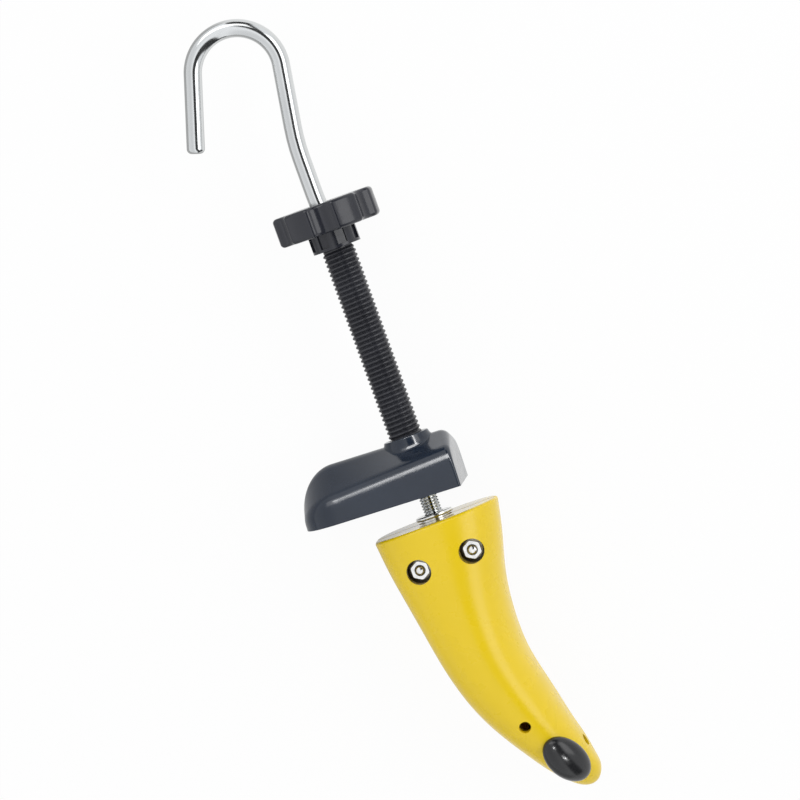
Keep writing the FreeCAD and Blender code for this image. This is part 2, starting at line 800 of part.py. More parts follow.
def heel_shell():
    """Hollow heel piece with a boss for the sleeve and stiffening ribs."""
    outer = heel_form(0)
    room = heel_form(heel_wall)
    rib_y = (heel_rib_start_y, heel_boss_top_y)
    half = rib_thickness / 2
    far = 4 * toe_length
    ribs = [
        block((-far, far), rib_y, (-half, half)),
        block((-half, half), rib_y, (-far, far)),
        block((heel_rib_x - half, heel_rib_x + half), rib_y, (-far, far)),
    ]
    shell = outer.cut(room.cut(ribs))
    shell.rotate(vec(0, heel_front_y, 0), along_z, -heel_tilt)
    boss_y = (heel_base_y - heel_depth_below, heel_boss_top_y)
    boss = bar_y(heel_boss_diameter, (boss_y[0], heel_cone_y))
    radii = (heel_cone_diameter / 2, heel_boss_top_diameter / 2)
    cone = Part.makeCone(radii[0], radii[1], heel_boss_top_y - heel_cone_y, vec(0, heel_cone_y, 0), along_y)
    shell = shell.fuse([boss, cone])
    bore_diameter = sleeve_thread_diameter + 2 * thread_clearance
    cuts = [heel_front_cut(), bar_y(bore_diameter, (boss_y[0], heel_boss_top_y + overrun))]
    cuts.append(bar_y(heel_pocket_diameter, (boss_y[0] - overrun, heel_pocket_depth_y)))
    return shell.cut(cuts)


def stretcher():
    """Every piece by name, in the drawing's own place."""
    pieces = {
        "hinge_block": hinge_block(),
        "captive_nut": hex_nut(captive_nut_y),
        "near_hinge_pin": hinge_pin(hinge_z),
        "far_hinge_pin": hinge_pin(-hinge_z),
        "top_washer": top_washer(),
        "crosshead": crosshead(),
        "cross_pin": cross_pin(),
        "swivel_clip": swivel_clip(),
        "hook_rod": hook_rod(),
        "stop_nut": hex_nut(stop_nut_y),
        "threaded_sleeve": threaded_sleeve(),
        "hand_knob": hand_knob(),
        "heel_shell": heel_shell(),
        "near_toe_shell": near_toe_shell(),
        "near_hinge_plate": near_hinge_plate(),
        "near_bolts": near_bolts(),
        "near_bolt_washers": near_bolt_washers(),
        "near_bolt_nuts": near_bolt_nuts(),
        "far_hinge_plate": far_hinge_plate(),
        "bunion_plug": bunion_plug(),
    }
    for name in ("toe_shell", "bolts", "bolt_washers", "bolt_nuts"):
        pieces["far_" + name] = mirrored(pieces["near_" + name])
    return pieces


def origin_shift(pieces):
    """Move that puts the origin under the middle of the stretcher's box."""
    box = Part.makeCompound(list(pieces.values())).optimalBoundingBox(False, False)
    return vec(-box.Center.x, -box.Center.y, -box.ZMin)


def main():
    pieces = stretcher()
    shift = origin_shift(pieces)
    os.makedirs("parts", exist_ok=True)
    for name, shape in pieces.items():
        shape.translate(shift)
        shape.exportStep(os.path.join("parts", name + ".step"))
    print("origin shift", shift)


main()
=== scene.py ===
import math
from typing import NamedTuple

import bmesh
import bpy
import numpy as np
from bpy.props import FloatProperty, FloatVectorProperty, PointerProperty
from mathutils import Matrix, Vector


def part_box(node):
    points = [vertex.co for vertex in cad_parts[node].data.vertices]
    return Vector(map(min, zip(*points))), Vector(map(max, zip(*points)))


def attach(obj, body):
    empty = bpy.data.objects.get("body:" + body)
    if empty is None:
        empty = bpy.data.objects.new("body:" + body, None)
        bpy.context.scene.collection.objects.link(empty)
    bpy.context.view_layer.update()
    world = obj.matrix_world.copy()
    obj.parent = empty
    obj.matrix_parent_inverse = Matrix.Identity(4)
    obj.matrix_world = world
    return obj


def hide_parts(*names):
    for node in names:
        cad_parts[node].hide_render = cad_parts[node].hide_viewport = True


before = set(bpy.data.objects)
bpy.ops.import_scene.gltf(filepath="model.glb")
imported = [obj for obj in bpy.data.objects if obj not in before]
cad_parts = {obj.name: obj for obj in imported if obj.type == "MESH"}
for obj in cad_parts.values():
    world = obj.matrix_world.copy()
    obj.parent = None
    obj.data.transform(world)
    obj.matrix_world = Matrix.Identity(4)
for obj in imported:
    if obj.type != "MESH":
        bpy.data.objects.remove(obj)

bl_info = {
    "name": "Shoe stretcher",
    "version": (1, 0, 0),
    "blender": (4, 5, 0),
    "location": "View3D > Sidebar > Stretcher",
    "description": "Dresses the CAD frame of a two-way shoe stretcher",
    "category": "Add Mesh",
}

# Shapes are worked out in millimetres from the rod's axis and the flat top of the toe: x towards
# the vamp, y along the rod towards the hook, z up. They are moved to the frame at the end.
MM = 0.001
FULL_TURN = 2 * math.pi
HALF_TURN = math.pi
QUARTER_TURN = math.pi / 2
ORIGIN, RIGHT, ALONG, UP = (0, 0, 0), (1, 0, 0), (0, 1, 0), (0, 0, 1)
WELD = 0.0005
SHARP_ANGLE = math.radians(38)
HEEL_SHARP_ANGLE = math.radians(50)
NUT_SHARP_ANGLE = math.radians(30)
NECK_STAND = 0.4
SOFT_SHARE = 0.3
THREAD_FLANK = 0.38
RING_STEPS = 64
NEAR_AXIS = 0.8
TOOL_START, TOOL_END = -5, 60
BAR_SIDES = np.array([-1, 1, 1, -1])
RIB_HALF = 1.2

# Toe sections from the top to the tip: sole point along and across, vamp point along and across,
# half breadth. All are shares of the length, the reach and the half breadth.
TOE_SHARES = np.array([
    (0.008, -0.985, 0.000, 1.000, 0.923),
    (0.111, -0.935, 0.111, 0.891, 0.946),
    (0.237, -0.838, 0.237, 0.735, 0.969),
    (0.363, -0.736, 0.363, 0.655, 0.988),
    (0.482, -0.632, 0.482, 0.655, 1.000),
    (0.620, -0.443, 0.581, 0.735, 0.992),
    (0.755, -0.128, 0.690, 0.853, 0.930),
    (0.838, 0.122, 0.772, 0.940, 0.815),
    (0.905, 0.340, 0.847, 1.032, 0.655),
    (0.948, 0.516, 0.900, 1.076, 0.492),
    (0.983, 0.698, 0.945, 1.095, 0.292),
])
TOE_TIP_SHARES = (0.992, 0.953)
SOLE_SQUARENESS = 2.7
VAMP_SQUARENESS = 2.2
SECTION_STEP = math.pi / 24
HOLLOW_END = 9.0
SPLIT_Z = 0.2
HINGE_Y = -6.6
SWING_SLOPE = 1.152 / 8.6
NOTCH_RADIUS = 7.45
TOE_TURNS, TOE_ROWS, NOSE_ROWS, RIM_ROWS, LID_ROWS = 97, 110, 28, 8, 7
HEIGHT_STATIONS, HEIGHT_SAMPLES, HEIGHT_MARGIN, HEIGHT_NEAREST = 8, 120, 0.15, 4
TOE_RIBS = (-32.0, -57.0)
TOE_RIB_REACH, TOE_RIB_ROWS = 15, 24
TOE_SINK = 1.5

# Bolts of a toe half, their recesses, and the plug holes by station and turn
BOLT_PLACES = ((-12.0, -17.6), (11.4, -16.7))
RECESS_RADIUS, RECESS_FLOOR, RECESS_CLEAR = 5.25, 11.6, 0.4
CUP_INNER, CUP_OUTER, BOLT_HOLE = 5.27, 8.25, 2.15
PLATE_TOP, PLATE_EDGE = 9.1, -11.4
PLUG_HOLES = ((6, 100.0), (8, 16.0), (8, 90.0))
PLUG_HOLE_RADIUS, PLUG_HOLE_SPAN = 2.5, (-5, 4)
BOLT_HEAD = ((0, 4.5), (3.2, 4.5), (3.5, 4.8), (3.5, 7.1), (1.98, 7.1), (1.98, 12.0))
BOLT_THREAD, BOLT_STEPS, BOLT_ROWS = (12.0, 17.1), 40, 110
BOLT_ROOT, BOLT_RISE, BOLT_PITCH = 1.62, 0.36, 0.7
BOLT_TAPER, BOLT_FADE, BOLT_POINT = 0.5, 3, 0.35
BOLT_WASHER_RADIUS, BOLT_WASHER_HEIGHT, BOLT_WASHER_EDGE = 4.5, 0.8, 0.25
NUT_FLATS, NUT_BORE, NUT_HEIGHT, NUT_STEPS = 7.0, 2.1, 3.2, 96
NUT_CORNER, NUT_LIP, NUT_CHAMFER = 1.1, 0.12, math.radians(30)
TOP_WASHER_RADII, TOP_WASHER_HEIGHT, TOP_WASHER_EDGE = (4.3, 8.0), 1.6, 0.45
TOP_WASHER_STEPS = 96

# How the toe's look changes: painted shade darkens the colour in the recesses, the top face is
# smoother
SHADE_REACH, SHADE_START, SHADE_DEPTH, SHADE_LOSS = 5.6, 0.4, 2.5, 0.85
TOP_DEPTH, TOP_POLISH = 0.2, 0.4

# Heel piece: section across the rod, places along it, and the boss on the sleeve
HEEL_FRONT = 11.1
HEEL_BASE = 12.5
HEEL_RIDGE = 34.3
HEEL_SHOULDERS = (21.6, 27.2)
SHOULDER_DROP = 0.41
HEEL_STRAIGHT = -34.3
HEEL_END = 16.8
HEEL_ROUND = 17.5
HEEL_PLAN_POWER = 2.6
HEEL_SHOULDER_RADIUS = 9.0
HEEL_RIDGE_RADIUS = 11.0
HEEL_END_ROUNDS = (1.0, 4.0)
HEEL_TILT = math.radians(2.1)
WALL_ROWS, ARC_ROWS, ROOF_ROWS = 7, 14, 26
ROUND_ROWS, BODY_ROWS, END_ROWS, FILL_ROWS = 30, 60, 9, 12
ROOF_TRIES, TILT_TRIES = 12, 4
BOSS_TOP, BOSS_RADIUS, BOSS_BORE, BOSS_STEPS = 36.2, 9.7, 7.1, 128
BOSS_LIP, BOSS_EDGE, BOSS_FALL, BOSS_BLEND, LIP_ROWS = 0.5, 0.4, 12.5, 3.0, 5
BOSS_SINK, BOSS_SINK_SPAN = 1.4, 5
BOSS_SKIRT, BOSS_SKIRT_ROWS = (3, 5.5), (26, 16)
POCKET_RADIUS, POCKET_TOP, POCKET_RISE = 8.5, 20.0, 0.3
POCKET_OUTER, POCKET_FOOT = 11.0, 24.0
HEEL_HUB, HEEL_RIB_ENDS, HEEL_CROSS_RIB = 10.0, (-48.0, 15.0), -29.0
HEEL_RIB_LOWS, HEEL_RIB_ROWS = (17.2, 17.0), 40
HEEL_RIB_BURIED, HEEL_SINK = 1.0, 1.6

# Sleeve, and the rod: its swivel end by radius and place, its thread, then runs and bends
SLEEVE_START, SLEEVE_THREAD_END, SLEEVE_END = 19.6, 119.8, 130.0
SLEEVE_NECK, SLEEVE_STEPS, SLEEVE_ROWS = 6.3, 72, 803
SWIVEL_PROFILE = ((0, -41), (2.75, -41), (2.75, -38.15), (2.1, -38.15), (2.1, -37.0),
                  (2.75, -37.0), (2.75, -31))
ROD_THREAD, ROD_STEPS, ROD_ROWS = (-31, 22), 64, 510
ROD_BENDS = ((104.5, 8.5, 45.0), (2.0, -8.5, 60.0), (15.5, -9.3, 85.0))
HOOK_RUN, HOOK_TURN = 26.2, 171.5
ROD_END_SHARE, TIP_ROWS = 0.55, 9
PATH_STEP, BEND_STEP = 2.0, 2

# Stage: floor in metres, camera angles, and where the camera aims along and across the rod
FLOOR_REACH, FLOOR_GLOW = 6.0, 0.95
FLOOR_LOOK = {"Base Color": (0.9, 0.9, 0.9, 1), "Roughness": 0.9, "Specular IOR Level": 0}
MIRRORED_FLOOR = {"From Min": -0.03, "From Max": 0.005, "To Min": 0.5, "To Max": 1.0}
ROOM_STOPS = ((0.0, 0.95), (0.2, 0.85), (0.34, 0.92), (0.44, 1.15), (0.5, 1.15), (0.53, 0.05),
              (0.74, 0.05), (0.78, 1.0), (0.9, 1.0), (1.0, 0.8))
ROOM_TINT = (0.99, 1, 1.02)
CAMERA_ROLL, CAMERA_PITCH, CAMERA_TILT = math.radians(5.4), math.radians(2.8), math.radians(19.93)
CAMERA_AIM = (76.54, 2.868, -25.415)
SENSOR, PICTURE, PIXELS_PER_MM, CLIP_END = 36.0, 800, 2.4, 100


def length_property(name, description, size):
    """A length, with its default in millimetres."""
    return FloatProperty(name=name, description=description, unit="LENGTH", default=size * MM)


def colour_property(name, description, colour):
    return FloatVectorProperty(name=name, description=description, subtype="COLOR", default=colour)


def power_property(name, description, power):
    return FloatProperty(name=name, description=description, unit="POWER", default=power)


class StretcherColours(bpy.types.PropertyGroup):
    """Colours of the plastics and metals."""

    yellow: colour_property("Yellow", "Plastic of the toe halves", (0.87, 0.62, 0.009))
    heel: colour_property("Heel", "Gloss plastic of the heel piece", (0.018, 0.027, 0.045))
    knob: colour_property("Knob", "Plastic of the knob", (0.024, 0.0255, 0.034))
    screw: colour_property("Sleeve", "Plastic of the threaded sleeve", (0.03, 0.031, 0.038))
    plug: colour_property("Plug", "Rubber of the plug", (0.019, 0.0195, 0.021))
    chrome: colour_property("Chrome", "Plating of the rod and hook", (0.69, 0.705, 0.705))
    zinc: colour_property("Zinc", "Plating of the washers and nuts", (0.88, 0.88, 0.86))


class ToeSizes(bpy.types.PropertyGroup):
    """Sizes of the two toe halves."""

    length: length_property("Length", "Top to tip", 127.6)
    reach: length_property("Reach", "Rod to the edge of the top", 27.5)
    breadth: length_property("Half breadth", "Widest half", 26.0)
    wall: length_property("Wall", "Thickness of the shell", 3.0)
    top_wall: length_property("Top wall", "Thickness of the top", 2.2)
    rim: length_property("Rim", "Rounding of the top edge", 1.6)
    seam: length_property("Seam", "Rounding along the split", 0.35)


class HeelSizes(bpy.types.PropertyGroup):
    """Sizes of the heel piece."""

    half_width: length_property("Half width", "Rod to the side", 24.6)
    wall: length_property("Wall", "Thickness of the shell", 2.8)
    flare: length_property("Flare", "Spread of the boss's foot", 2.2)


class ScrewSizes(bpy.types.PropertyGroup):
    """Sizes of the rod, its thread and the sleeve."""

    rod: length_property("Rod", "Diameter of the rod", 7.6)
    rod_crest: length_property("Rod thread", "Outer diameter", 7.9)
    rod_root: length_property("Rod root", "Root diameter", 6.6)
    rod_pitch: length_property("Rod pitch", "Lead of a turn", 1.25)
    sleeve_crest: length_property("Sleeve thread", "Outer diameter", 14.1)
    sleeve_root: length_property("Sleeve root", "Root diameter", 12.4)
    sleeve_pitch: length_property("Sleeve pitch", "Lead of a turn", 2)
    sleeve_bore: length_property("Sleeve bore", "Hole for the rod", 8.3)
    hook_radius: length_property("Hook", "Bend of the hook", 18.6)
    hook_leg: length_property("Leg", "Straight end of the hook", 33)


class StageSettings(bpy.types.PropertyGroup):
    """Light, floor and camera."""

    lamp: power_property("Soft boxes", "Power of each soft box", 5.0)
    shine: power_property("Shine", "Power of the box mirrored by the heel's shoulder", 34.0)
    strip: power_property("Strip", "Power of the strip mirrored by the heel's boss", 8.0)
    spark: power_property("Sparks", "Power of the small lamps mirrored by the plug", 4.0)
    sky: FloatProperty(name="Room", description="Strength of the room's light", default=1.0)
    distance: FloatProperty(
        name="Camera", description="Distance of the camera", unit="LENGTH", default=2.2)


class StretcherSettings(bpy.types.PropertyGroup):
    """All settings of the stretcher."""

    colours: PointerProperty(type=StretcherColours)
    toe: PointerProperty(type=ToeSizes)
    heel: PointerProperty(type=HeelSizes)
    screw: PointerProperty(type=ScrewSizes)
    stage: PointerProperty(type=StageSettings)


def in_mm(value):
    return value / MM


def rod_origin():
    """Where the rod's axis meets the toe's top, from the frame's own pieces, in metres."""
    low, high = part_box("captive_nut")
    washer_low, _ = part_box("top_washer")
    return np.array(((low.x + high.x) / 2, washer_low.y - NECK_STAND * MM, (low.z + high.z) / 2))


def grid_quads(rows, columns, wrap_rows=False, wrap_columns=False, start=0):
    """Corner numbers of the squares of a grid of points."""
    i = np.arange(rows if wrap_rows else rows - 1)
    j = np.arange(columns if wrap_columns else columns - 1)
    a, b = np.meshgrid(i, j, indexing="ij")
    c, d = (a + 1) % rows, (b + 1) % columns
    corners = [a * columns + b, c * columns + b, c * columns + d, a * columns + d]
    return start + np.stack(corners, -1).reshape(-1, 4)


def solid_mesh(name, points, quads):
    """A closed mesh from points in millimetres: welded, faces outward."""
    place = points.reshape(-1, 3) * MM + rod_origin()
    mesh = bpy.data.meshes.new(name)
    mesh.from_pydata(place.tolist(), [], quads.tolist())
    work = bmesh.new()
    work.from_mesh(mesh)
    bmesh.ops.remove_doubles(work, verts=work.verts, dist=WELD * MM)
    bmesh.ops.dissolve_degenerate(work, edges=work.edges, dist=WELD * MM / 10)
    bmesh.ops.recalc_face_normals(work, faces=work.faces)
    work.to_mesh(mesh)
    work.free()
    return mesh


def sheet_solid(name, outer, inner, closing_row):
    """A shell: two sheets on the same grid, joined along both sides and one closing row."""
    rows, columns = outer.shape[:2]
    count = rows * columns
    quads = [grid_quads(rows, columns), grid_quads(rows, columns, start=count)]
    number = np.arange(count).reshape(rows, columns)
    for edge in (number[:, 0], number[:, -1], number[closing_row]):
        quads.append(np.stack([edge[:-1], edge[1:], edge[1:] + count, edge[:-1] + count], 1))
    return solid_mesh(name, np.concatenate([outer, inner]), np.concatenate(quads))


def bar_solid(name, points):
    """A bar from rows of four corners, closed at both ends."""
    ends = np.arange(4) + np.array([[0], [4 * (len(points) - 1)]])
    sides = grid_quads(len(points), 4, wrap_columns=True)
    return solid_mesh(name, points, np.concatenate([sides, ends]))


def joined(name, meshes):
    """Several closed meshes as one."""
    work = bmesh.new()
    for mesh in meshes:
        work.from_mesh(mesh)
        bpy.data.meshes.remove(mesh)
    result = bpy.data.meshes.new(name)
    work.to_mesh(result)
    work.free()
    return result


def cut_mesh(name, base, cutter):
    """The first mesh with the second taken away."""
    shape = bpy.data.objects.new(name + "_base", base)
    tool = bpy.data.objects.new(name + "_tool", cutter)
    for item in (shape, tool):
        bpy.context.scene.collection.objects.link(item)
    cut = shape.modifiers.new("cut", "BOOLEAN")
    cut.operation = "DIFFERENCE"
    cut.solver = "EXACT"
    cut.object = tool
    bpy.context.view_layer.update()
    graph = bpy.context.evaluated_depsgraph_get()
    result = bpy.data.meshes.new_from_object(shape.evaluated_get(graph))
    result.name = name
    for item in (shape, tool):
        data = item.data
        bpy.data.objects.remove(item)
        bpy.data.meshes.remove(data)
    if not result.polygons:
        raise RuntimeError(name + ": nothing was left after the cut")
    return result


def mirrored(mesh, name):
    """A copy of a near half's mesh for the far half, mirrored in the split plane."""
    copy = mesh.copy()
    copy.name = name
    level = rod_origin()[2]
    copy.transform(Matrix.Translation((0, 0, 2 * level)) @ Matrix.Diagonal((1, 1, -1, 1)))
    copy.flip_normals()
    return copy


def add_piece(name, mesh, body, material, nodes, sharp=SHARP_ANGLE):
    """Puts a mesh in the scene for some CAD nodes, on their body."""
    mesh.shade_smooth()
    mesh.set_sharp_from_angle(angle=sharp)
    mesh.materials.clear()
    mesh.materials.append(material)
    piece = bpy.data.objects.new(name, mesh)
    bpy.context.scene.collection.objects.link(piece)
    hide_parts(*nodes)
    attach(piece, body)


def circle(steps):
    """Angles round a full turn."""
    return np.linspace(0, FULL_TURN, steps, endpoint=False)


def lathe(radii, levels, steps, point, axis, side):
    """Rings of points round the axis through a point, starting at a side. Each ring has a radius
    and a level along the axis, or one for each step."""
    angle = circle(steps)[:, None]
    axis, side = np.asarray(axis, float), np.asarray(side, float)
    ring = np.cos(angle) * side + np.sin(angle) * np.cross(axis, side)
    return np.asarray(point, float) + levels[..., None] * axis + radii[..., None] * ring


def turned(profile, steps, point, axis, side):
    """Rings of points from pairs of radius and level."""
    radii, levels = np.asarray(profile, float).T[..., None]
    return lathe(radii, levels, steps, point, axis, side)


def ring_solid(name, profile, steps, point, axis, side):
    """A solid ring: a closed profile turned about an axis."""
    points = turned(profile, steps, point, axis, side)
    return solid_mesh(name, points, grid_quads(len(profile), steps, True, True))


def side_of(axis):
    """Some direction square to an axis: its product with RIGHT, or with ALONG if RIGHT is near."""
    side = np.cross(axis, RIGHT if abs(axis[0]) < NEAR_AXIS else ALONG)
    return side / np.linalg.norm(side)


def rod_bar(name, radius, low, high, point, axis, steps=48):
    """A plain round bar, for cutting holes."""
    profile = [(0, low), (radius, low), (radius, high), (0, high)]
    points = turned(profile, steps, point, axis, side_of(axis))
    return solid_mesh(name, points, grid_quads(len(profile), steps, wrap_columns=True))


def thread_rise(along, angle, pitch):
    """Height of a right-hand thread from root 0 to crest 1: a ridge with a flat top and sharp
    grooves beside it that climbs a pitch each turn."""
    step = (along / pitch - angle / FULL_TURN + 0.5) % 1 - 0.5
    return np.minimum((0.5 - abs(step)) / THREAD_FLANK, 1)


def thread_radius(along, angle, root, crest, pitch):
    """Radius of a thread that rises from its root over one pitch at both ends."""
    fade = np.clip(np.minimum(along - along[0], along[-1] - along) / pitch, 0, 1)
    return root + (crest - root) * thread_rise(along[:, None], angle, pitch) * fade[:, None]


def spline(values, at, places):
    """Natural cubic spline through values at their places, read at other places."""
    count = len(at)
    gap = np.diff(at)
    system = np.diag(np.concatenate([[1], 2 * (gap[:-1] + gap[1:]), [1]]))
    system += np.diag(np.append(gap[:-1], 0), -1) + np.diag(np.append(0, gap[1:]), 1)
    right = np.zeros((count, values.shape[1]))
    slope = np.diff(values, axis=0) / gap[:, None]
    right[1:-1] = 6 * np.diff(slope, axis=0)
    bend = np.linalg.solve(system, right)
    k = np.clip(np.searchsorted(at, places, side="right") - 1, 0, count - 2)
    h = gap[k][:, None]
    a = (at[k + 1] - places)[:, None]
    b = (places - at[k])[:, None]
    cubic = (bend[k] * a ** 3 + bend[k + 1] * b ** 3) / (6 * h)
    near = (values[k] / h - bend[k] * h / 6) * a
    return cubic + near + (values[k + 1] / h - bend[k + 1] * h / 6) * b


def toe_lines(sizes, stations):
    """Sole point, vamp point and half breadth at stations that may lie between the table's.

    One spline runs down the sole line, round the tip and up the vamp line, so the nose is round."""
    length, reach, half = in_mm(sizes.length), in_mm(sizes.reach), in_mm(sizes.breadth)
    sole_y, sole_x, vamp_y, vamp_x, breadth = TOE_SHARES.T
    sole = np.stack([sole_x * reach, -sole_y * length, breadth * half], 1)
    vamp = np.stack([vamp_x * reach, -vamp_y * length, -breadth * half], 1)
    tip = np.array([[TOE_TIP_SHARES[1] * reach, -TOE_TIP_SHARES[0] * length, 0]])
    path = np.concatenate([sole, tip, vamp[::-1]])
    step = np.linalg.norm(np.diff(path, axis=0), axis=1)
    step = (step + step[::-1]) / 2
    at = np.concatenate([[0], np.cumsum(step)])
    middle = at[len(sole)]
    place = np.interp(stations, np.arange(len(sole) + 1), at[: len(sole) + 1])
    down = spline(path, at, place)
    up = spline(path, at, 2 * middle - place)
    return down[:, :2], up[:, :2], (down[:, 2] - up[:, 2]) / 2


def toe_surface(sizes, stations, angles, inset, low=None):
    """Points of the toe: at each station a section between the sole and vamp points, squarer on
    the sole side.

    The reach at an angle is (|cos|^p + |sin|^p)^(-1/p). The inset draws the section in. Where a
    lowest height is given, the section is pressed together to start there."""
    sole, vamp, breadth = toe_lines(sizes, stations)
    half = (vamp - sole) / 2
    size = np.linalg.norm(half, axis=1, keepdims=True)
    inset = np.broadcast_to(inset, (len(stations), len(angles)))
    across = np.maximum(size - inset, 0) / np.maximum(size, 1e-9)
    power = np.where(np.cos(angles) > 0, VAMP_SQUARENESS, SOLE_SQUARENESS)
    bulge = (abs(np.cos(angles)) ** power + abs(np.sin(angles)) ** power) ** (-1 / power)
    reach = (across * bulge * np.cos(angles))[..., None]
    flat = (sole + vamp)[:, None] / 2 + half[:, None] * reach
    tall = np.maximum(breadth[:, None] - inset, 0)
    rise = tall * bulge * np.sin(angles)
    if low is not None:
        start = np.maximum(SPLIT_Z, (flat[..., 1] - HINGE_Y) * SWING_SLOPE) + low
        rise = start + rise * np.maximum(tall - start, 0) / np.maximum(tall, 1e-9)
    return np.concatenate([flat, rise[..., None]], 2)


def toe_shell_mesh(name, sizes):
    """One toe half: an outer sheet and an inner sheet, each a grid of station and angle, joined
    along the split.

    Rows run from the notch round the neck over the top face, round the rim and to the tip."""
    rim, seam, wall = in_mm(sizes.rim), in_mm(sizes.seam), in_mm(sizes.wall)
    soft = SOFT_SHARE * seam
    turns = np.linspace(0, HALF_TURN, TOE_TURNS)
    angles = np.concatenate([[0, 0], turns, [HALF_TURN, HALF_TURN]])
    drawn = np.concatenate([[seam, soft], np.zeros(TOE_TURNS), [soft, seam]])
    low = np.concatenate([[0, soft], np.full(TOE_TURNS, seam), [soft, 0]])
    first_gap = TOE_SHARES[1, 0] * in_mm(sizes.length)
    bend = np.linspace(0, QUARTER_TURN, RIM_ROWS)
    rim_rows = rim * (1 - np.cos(bend)) / first_gap
    body_rows = np.concatenate([np.linspace(rim_rows[-1], HOLLOW_END, TOE_ROWS)[1:],
                                np.linspace(HOLLOW_END, len(TOE_SHARES), NOSE_ROWS)[1:]])
    stations = np.concatenate([rim_rows, body_rows])
    inset = np.concatenate([rim * (1 - np.sin(bend)), np.zeros(len(body_rows))])
    outer = toe_surface(sizes, stations, angles, inset[:, None] + drawn, low)
    tops = outer[0]
    notch = NOTCH_RADIUS * np.stack([np.cos(angles), 0 * angles, np.sin(angles)], 1)
    slope = (tops[-1, 1] - tops[0, 1]) / (tops[-1, 0] - tops[0, 0])
    notch[:, 1] = tops[0, 1] + (notch[:, 0] - tops[0, 0]) * slope
    notch[:, 2] = np.maximum(notch[:, 2], tops[:, 2].min() + low)
    share = np.linspace(0, 1, LID_ROWS)[:-1, None, None]
    outer = np.concatenate([notch + (tops - notch) * share, outer])
    depth = in_mm(sizes.top_wall)
    deep = np.linspace(depth / first_gap, HOLLOW_END, TOE_ROWS + RIM_ROWS - 1)
    inner_wall = toe_surface(sizes, deep, angles, wall, 0)
    inner_wall[0, :, 1] = -depth
    under = notch.copy()
    under[:, 1] = -depth
    lid = under + (inner_wall[0] - under) * share
    end = inner_wall[-1]
    centre = np.append((end[0, :2] + end[-1, :2]) / 2, SPLIT_Z)
    cap = end + (centre - end) * np.linspace(0, 1, NOSE_ROWS)[1:, None, None]
    return sheet_solid(name, outer, np.concatenate([lid, inner_wall, cap]), 0)


def toe_height(sizes, x, y):
    """Height of the toe's outside over points of the split plane, from the nearest of a grid."""
    stations = np.linspace(0, HEIGHT_STATIONS, HEIGHT_SAMPLES)
    angles = np.linspace(HEIGHT_MARGIN, HALF_TURN - HEIGHT_MARGIN, HEIGHT_SAMPLES)
    grid = toe_surface(sizes, stations, angles, 0).reshape(-1, 3)
    away = (grid[:, 0] - np.ravel(x)[:, None]) ** 2 + (grid[:, 1] - np.ravel(y)[:, None]) ** 2
    near = np.argsort(away, axis=1)[:, :HEIGHT_NEAREST]
    weight = 1 / (np.take_along_axis(away, near, 1) + 1e-6)
    return ((grid[near, 2] * weight).sum(1) / weight.sum(1)).reshape(np.shape(x))


def surface_frame(sizes, station, turn):
    """Point and outward normal on the toe at a station and a turn in degrees."""
    around_it = np.array([-1, 0, 1])
    angles = math.radians(turn) + around_it * SECTION_STEP
    grid = toe_surface(sizes, station + around_it, angles, 0)
    normal = np.cross(grid[1, 2] - grid[1, 0], grid[2, 1] - grid[0, 1])
    return grid[1, 1], normal / np.linalg.norm(normal)


def toe_painted_shade_and_polish(mesh, sizes):
    """Two attributes of a toe half: shade is a painted shade, 1 outside and falling with the depth
    in the bolts' recesses, and polish is 1 but less on the smooth top face, where it scales the
    roughness."""
    place = np.zeros(3 * len(mesh.vertices))
    mesh.vertices.foreach_get("co", place)
    x, y, z = ((place.reshape(-1, 3) - rod_origin()) / MM).T
    shade = np.ones(len(x))
    # Painted shade: the colour darkens with the depth below the outside in each bolt's recess
    for bolt_x, bolt_y in BOLT_PLACES:
        inside = np.hypot(x - bolt_x, y - bolt_y) < SHADE_REACH
        depth = toe_height(sizes, x[inside], y[inside]) - z[inside]
        shade[inside] = 1 - SHADE_LOSS * np.clip((depth - SHADE_START) / SHADE_DEPTH, 0, 1)
    sole_y, sole_x, vamp_y, vamp_x, _ = TOE_SHARES[0]
    ends = np.array((sole_x, vamp_x)) * in_mm(sizes.reach)
    top = np.interp(x, ends, np.array((-sole_y, -vamp_y)) * in_mm(sizes.length))
    polish = np.where(y > top - TOP_DEPTH, TOP_POLISH, 1.0)
    for name, values in (("shade", shade), ("polish", polish)):
        mesh.attributes.new(name, "FLOAT", "POINT").data.foreach_set("value", values)


def bolt_cup(name, sizes, x, y):
    """Boss round a bolt: a ring with a floor, its top edge held inside the toe's wall and its
    foot kept off the end of the plate."""
    profile = [(BOLT_HOLE, PLATE_TOP), (CUP_OUTER, PLATE_TOP), (CUP_OUTER, RECESS_FLOOR),
               (CUP_OUTER, RECESS_FLOOR), (CUP_OUTER, 0), (CUP_INNER, 0),
               (CUP_INNER, RECESS_FLOOR), (BOLT_HOLE, RECESS_FLOOR)]
    points = turned(profile, RING_STEPS, (x, y, 0), UP, RIGHT)
    foot, top = points[1:3], points[4:6]
    foot[..., 1] = np.minimum(foot[..., 1], PLATE_EDGE)
    top[..., 2] = toe_height(sizes, top[..., 0], top[..., 1]) - TOE_SINK
    return solid_mesh(name, points, grid_quads(len(profile), RING_STEPS, True, True))


def toe_rib(name, sizes, y):
    """Rib across a toe half behind its plate."""
    points = np.zeros((TOE_RIB_ROWS, 4, 3))
    points[..., 0] = np.linspace(-TOE_RIB_REACH, TOE_RIB_REACH, TOE_RIB_ROWS)[:, None]
    points[..., 1] = y + RIB_HALF * BAR_SIDES
    points[:, :2, 2] = PLATE_TOP
    points[:, 2:, 2] = toe_height(sizes, points[:, 2:, 0], points[:, 2:, 1]) - TOE_SINK
    return bar_solid(name, points)


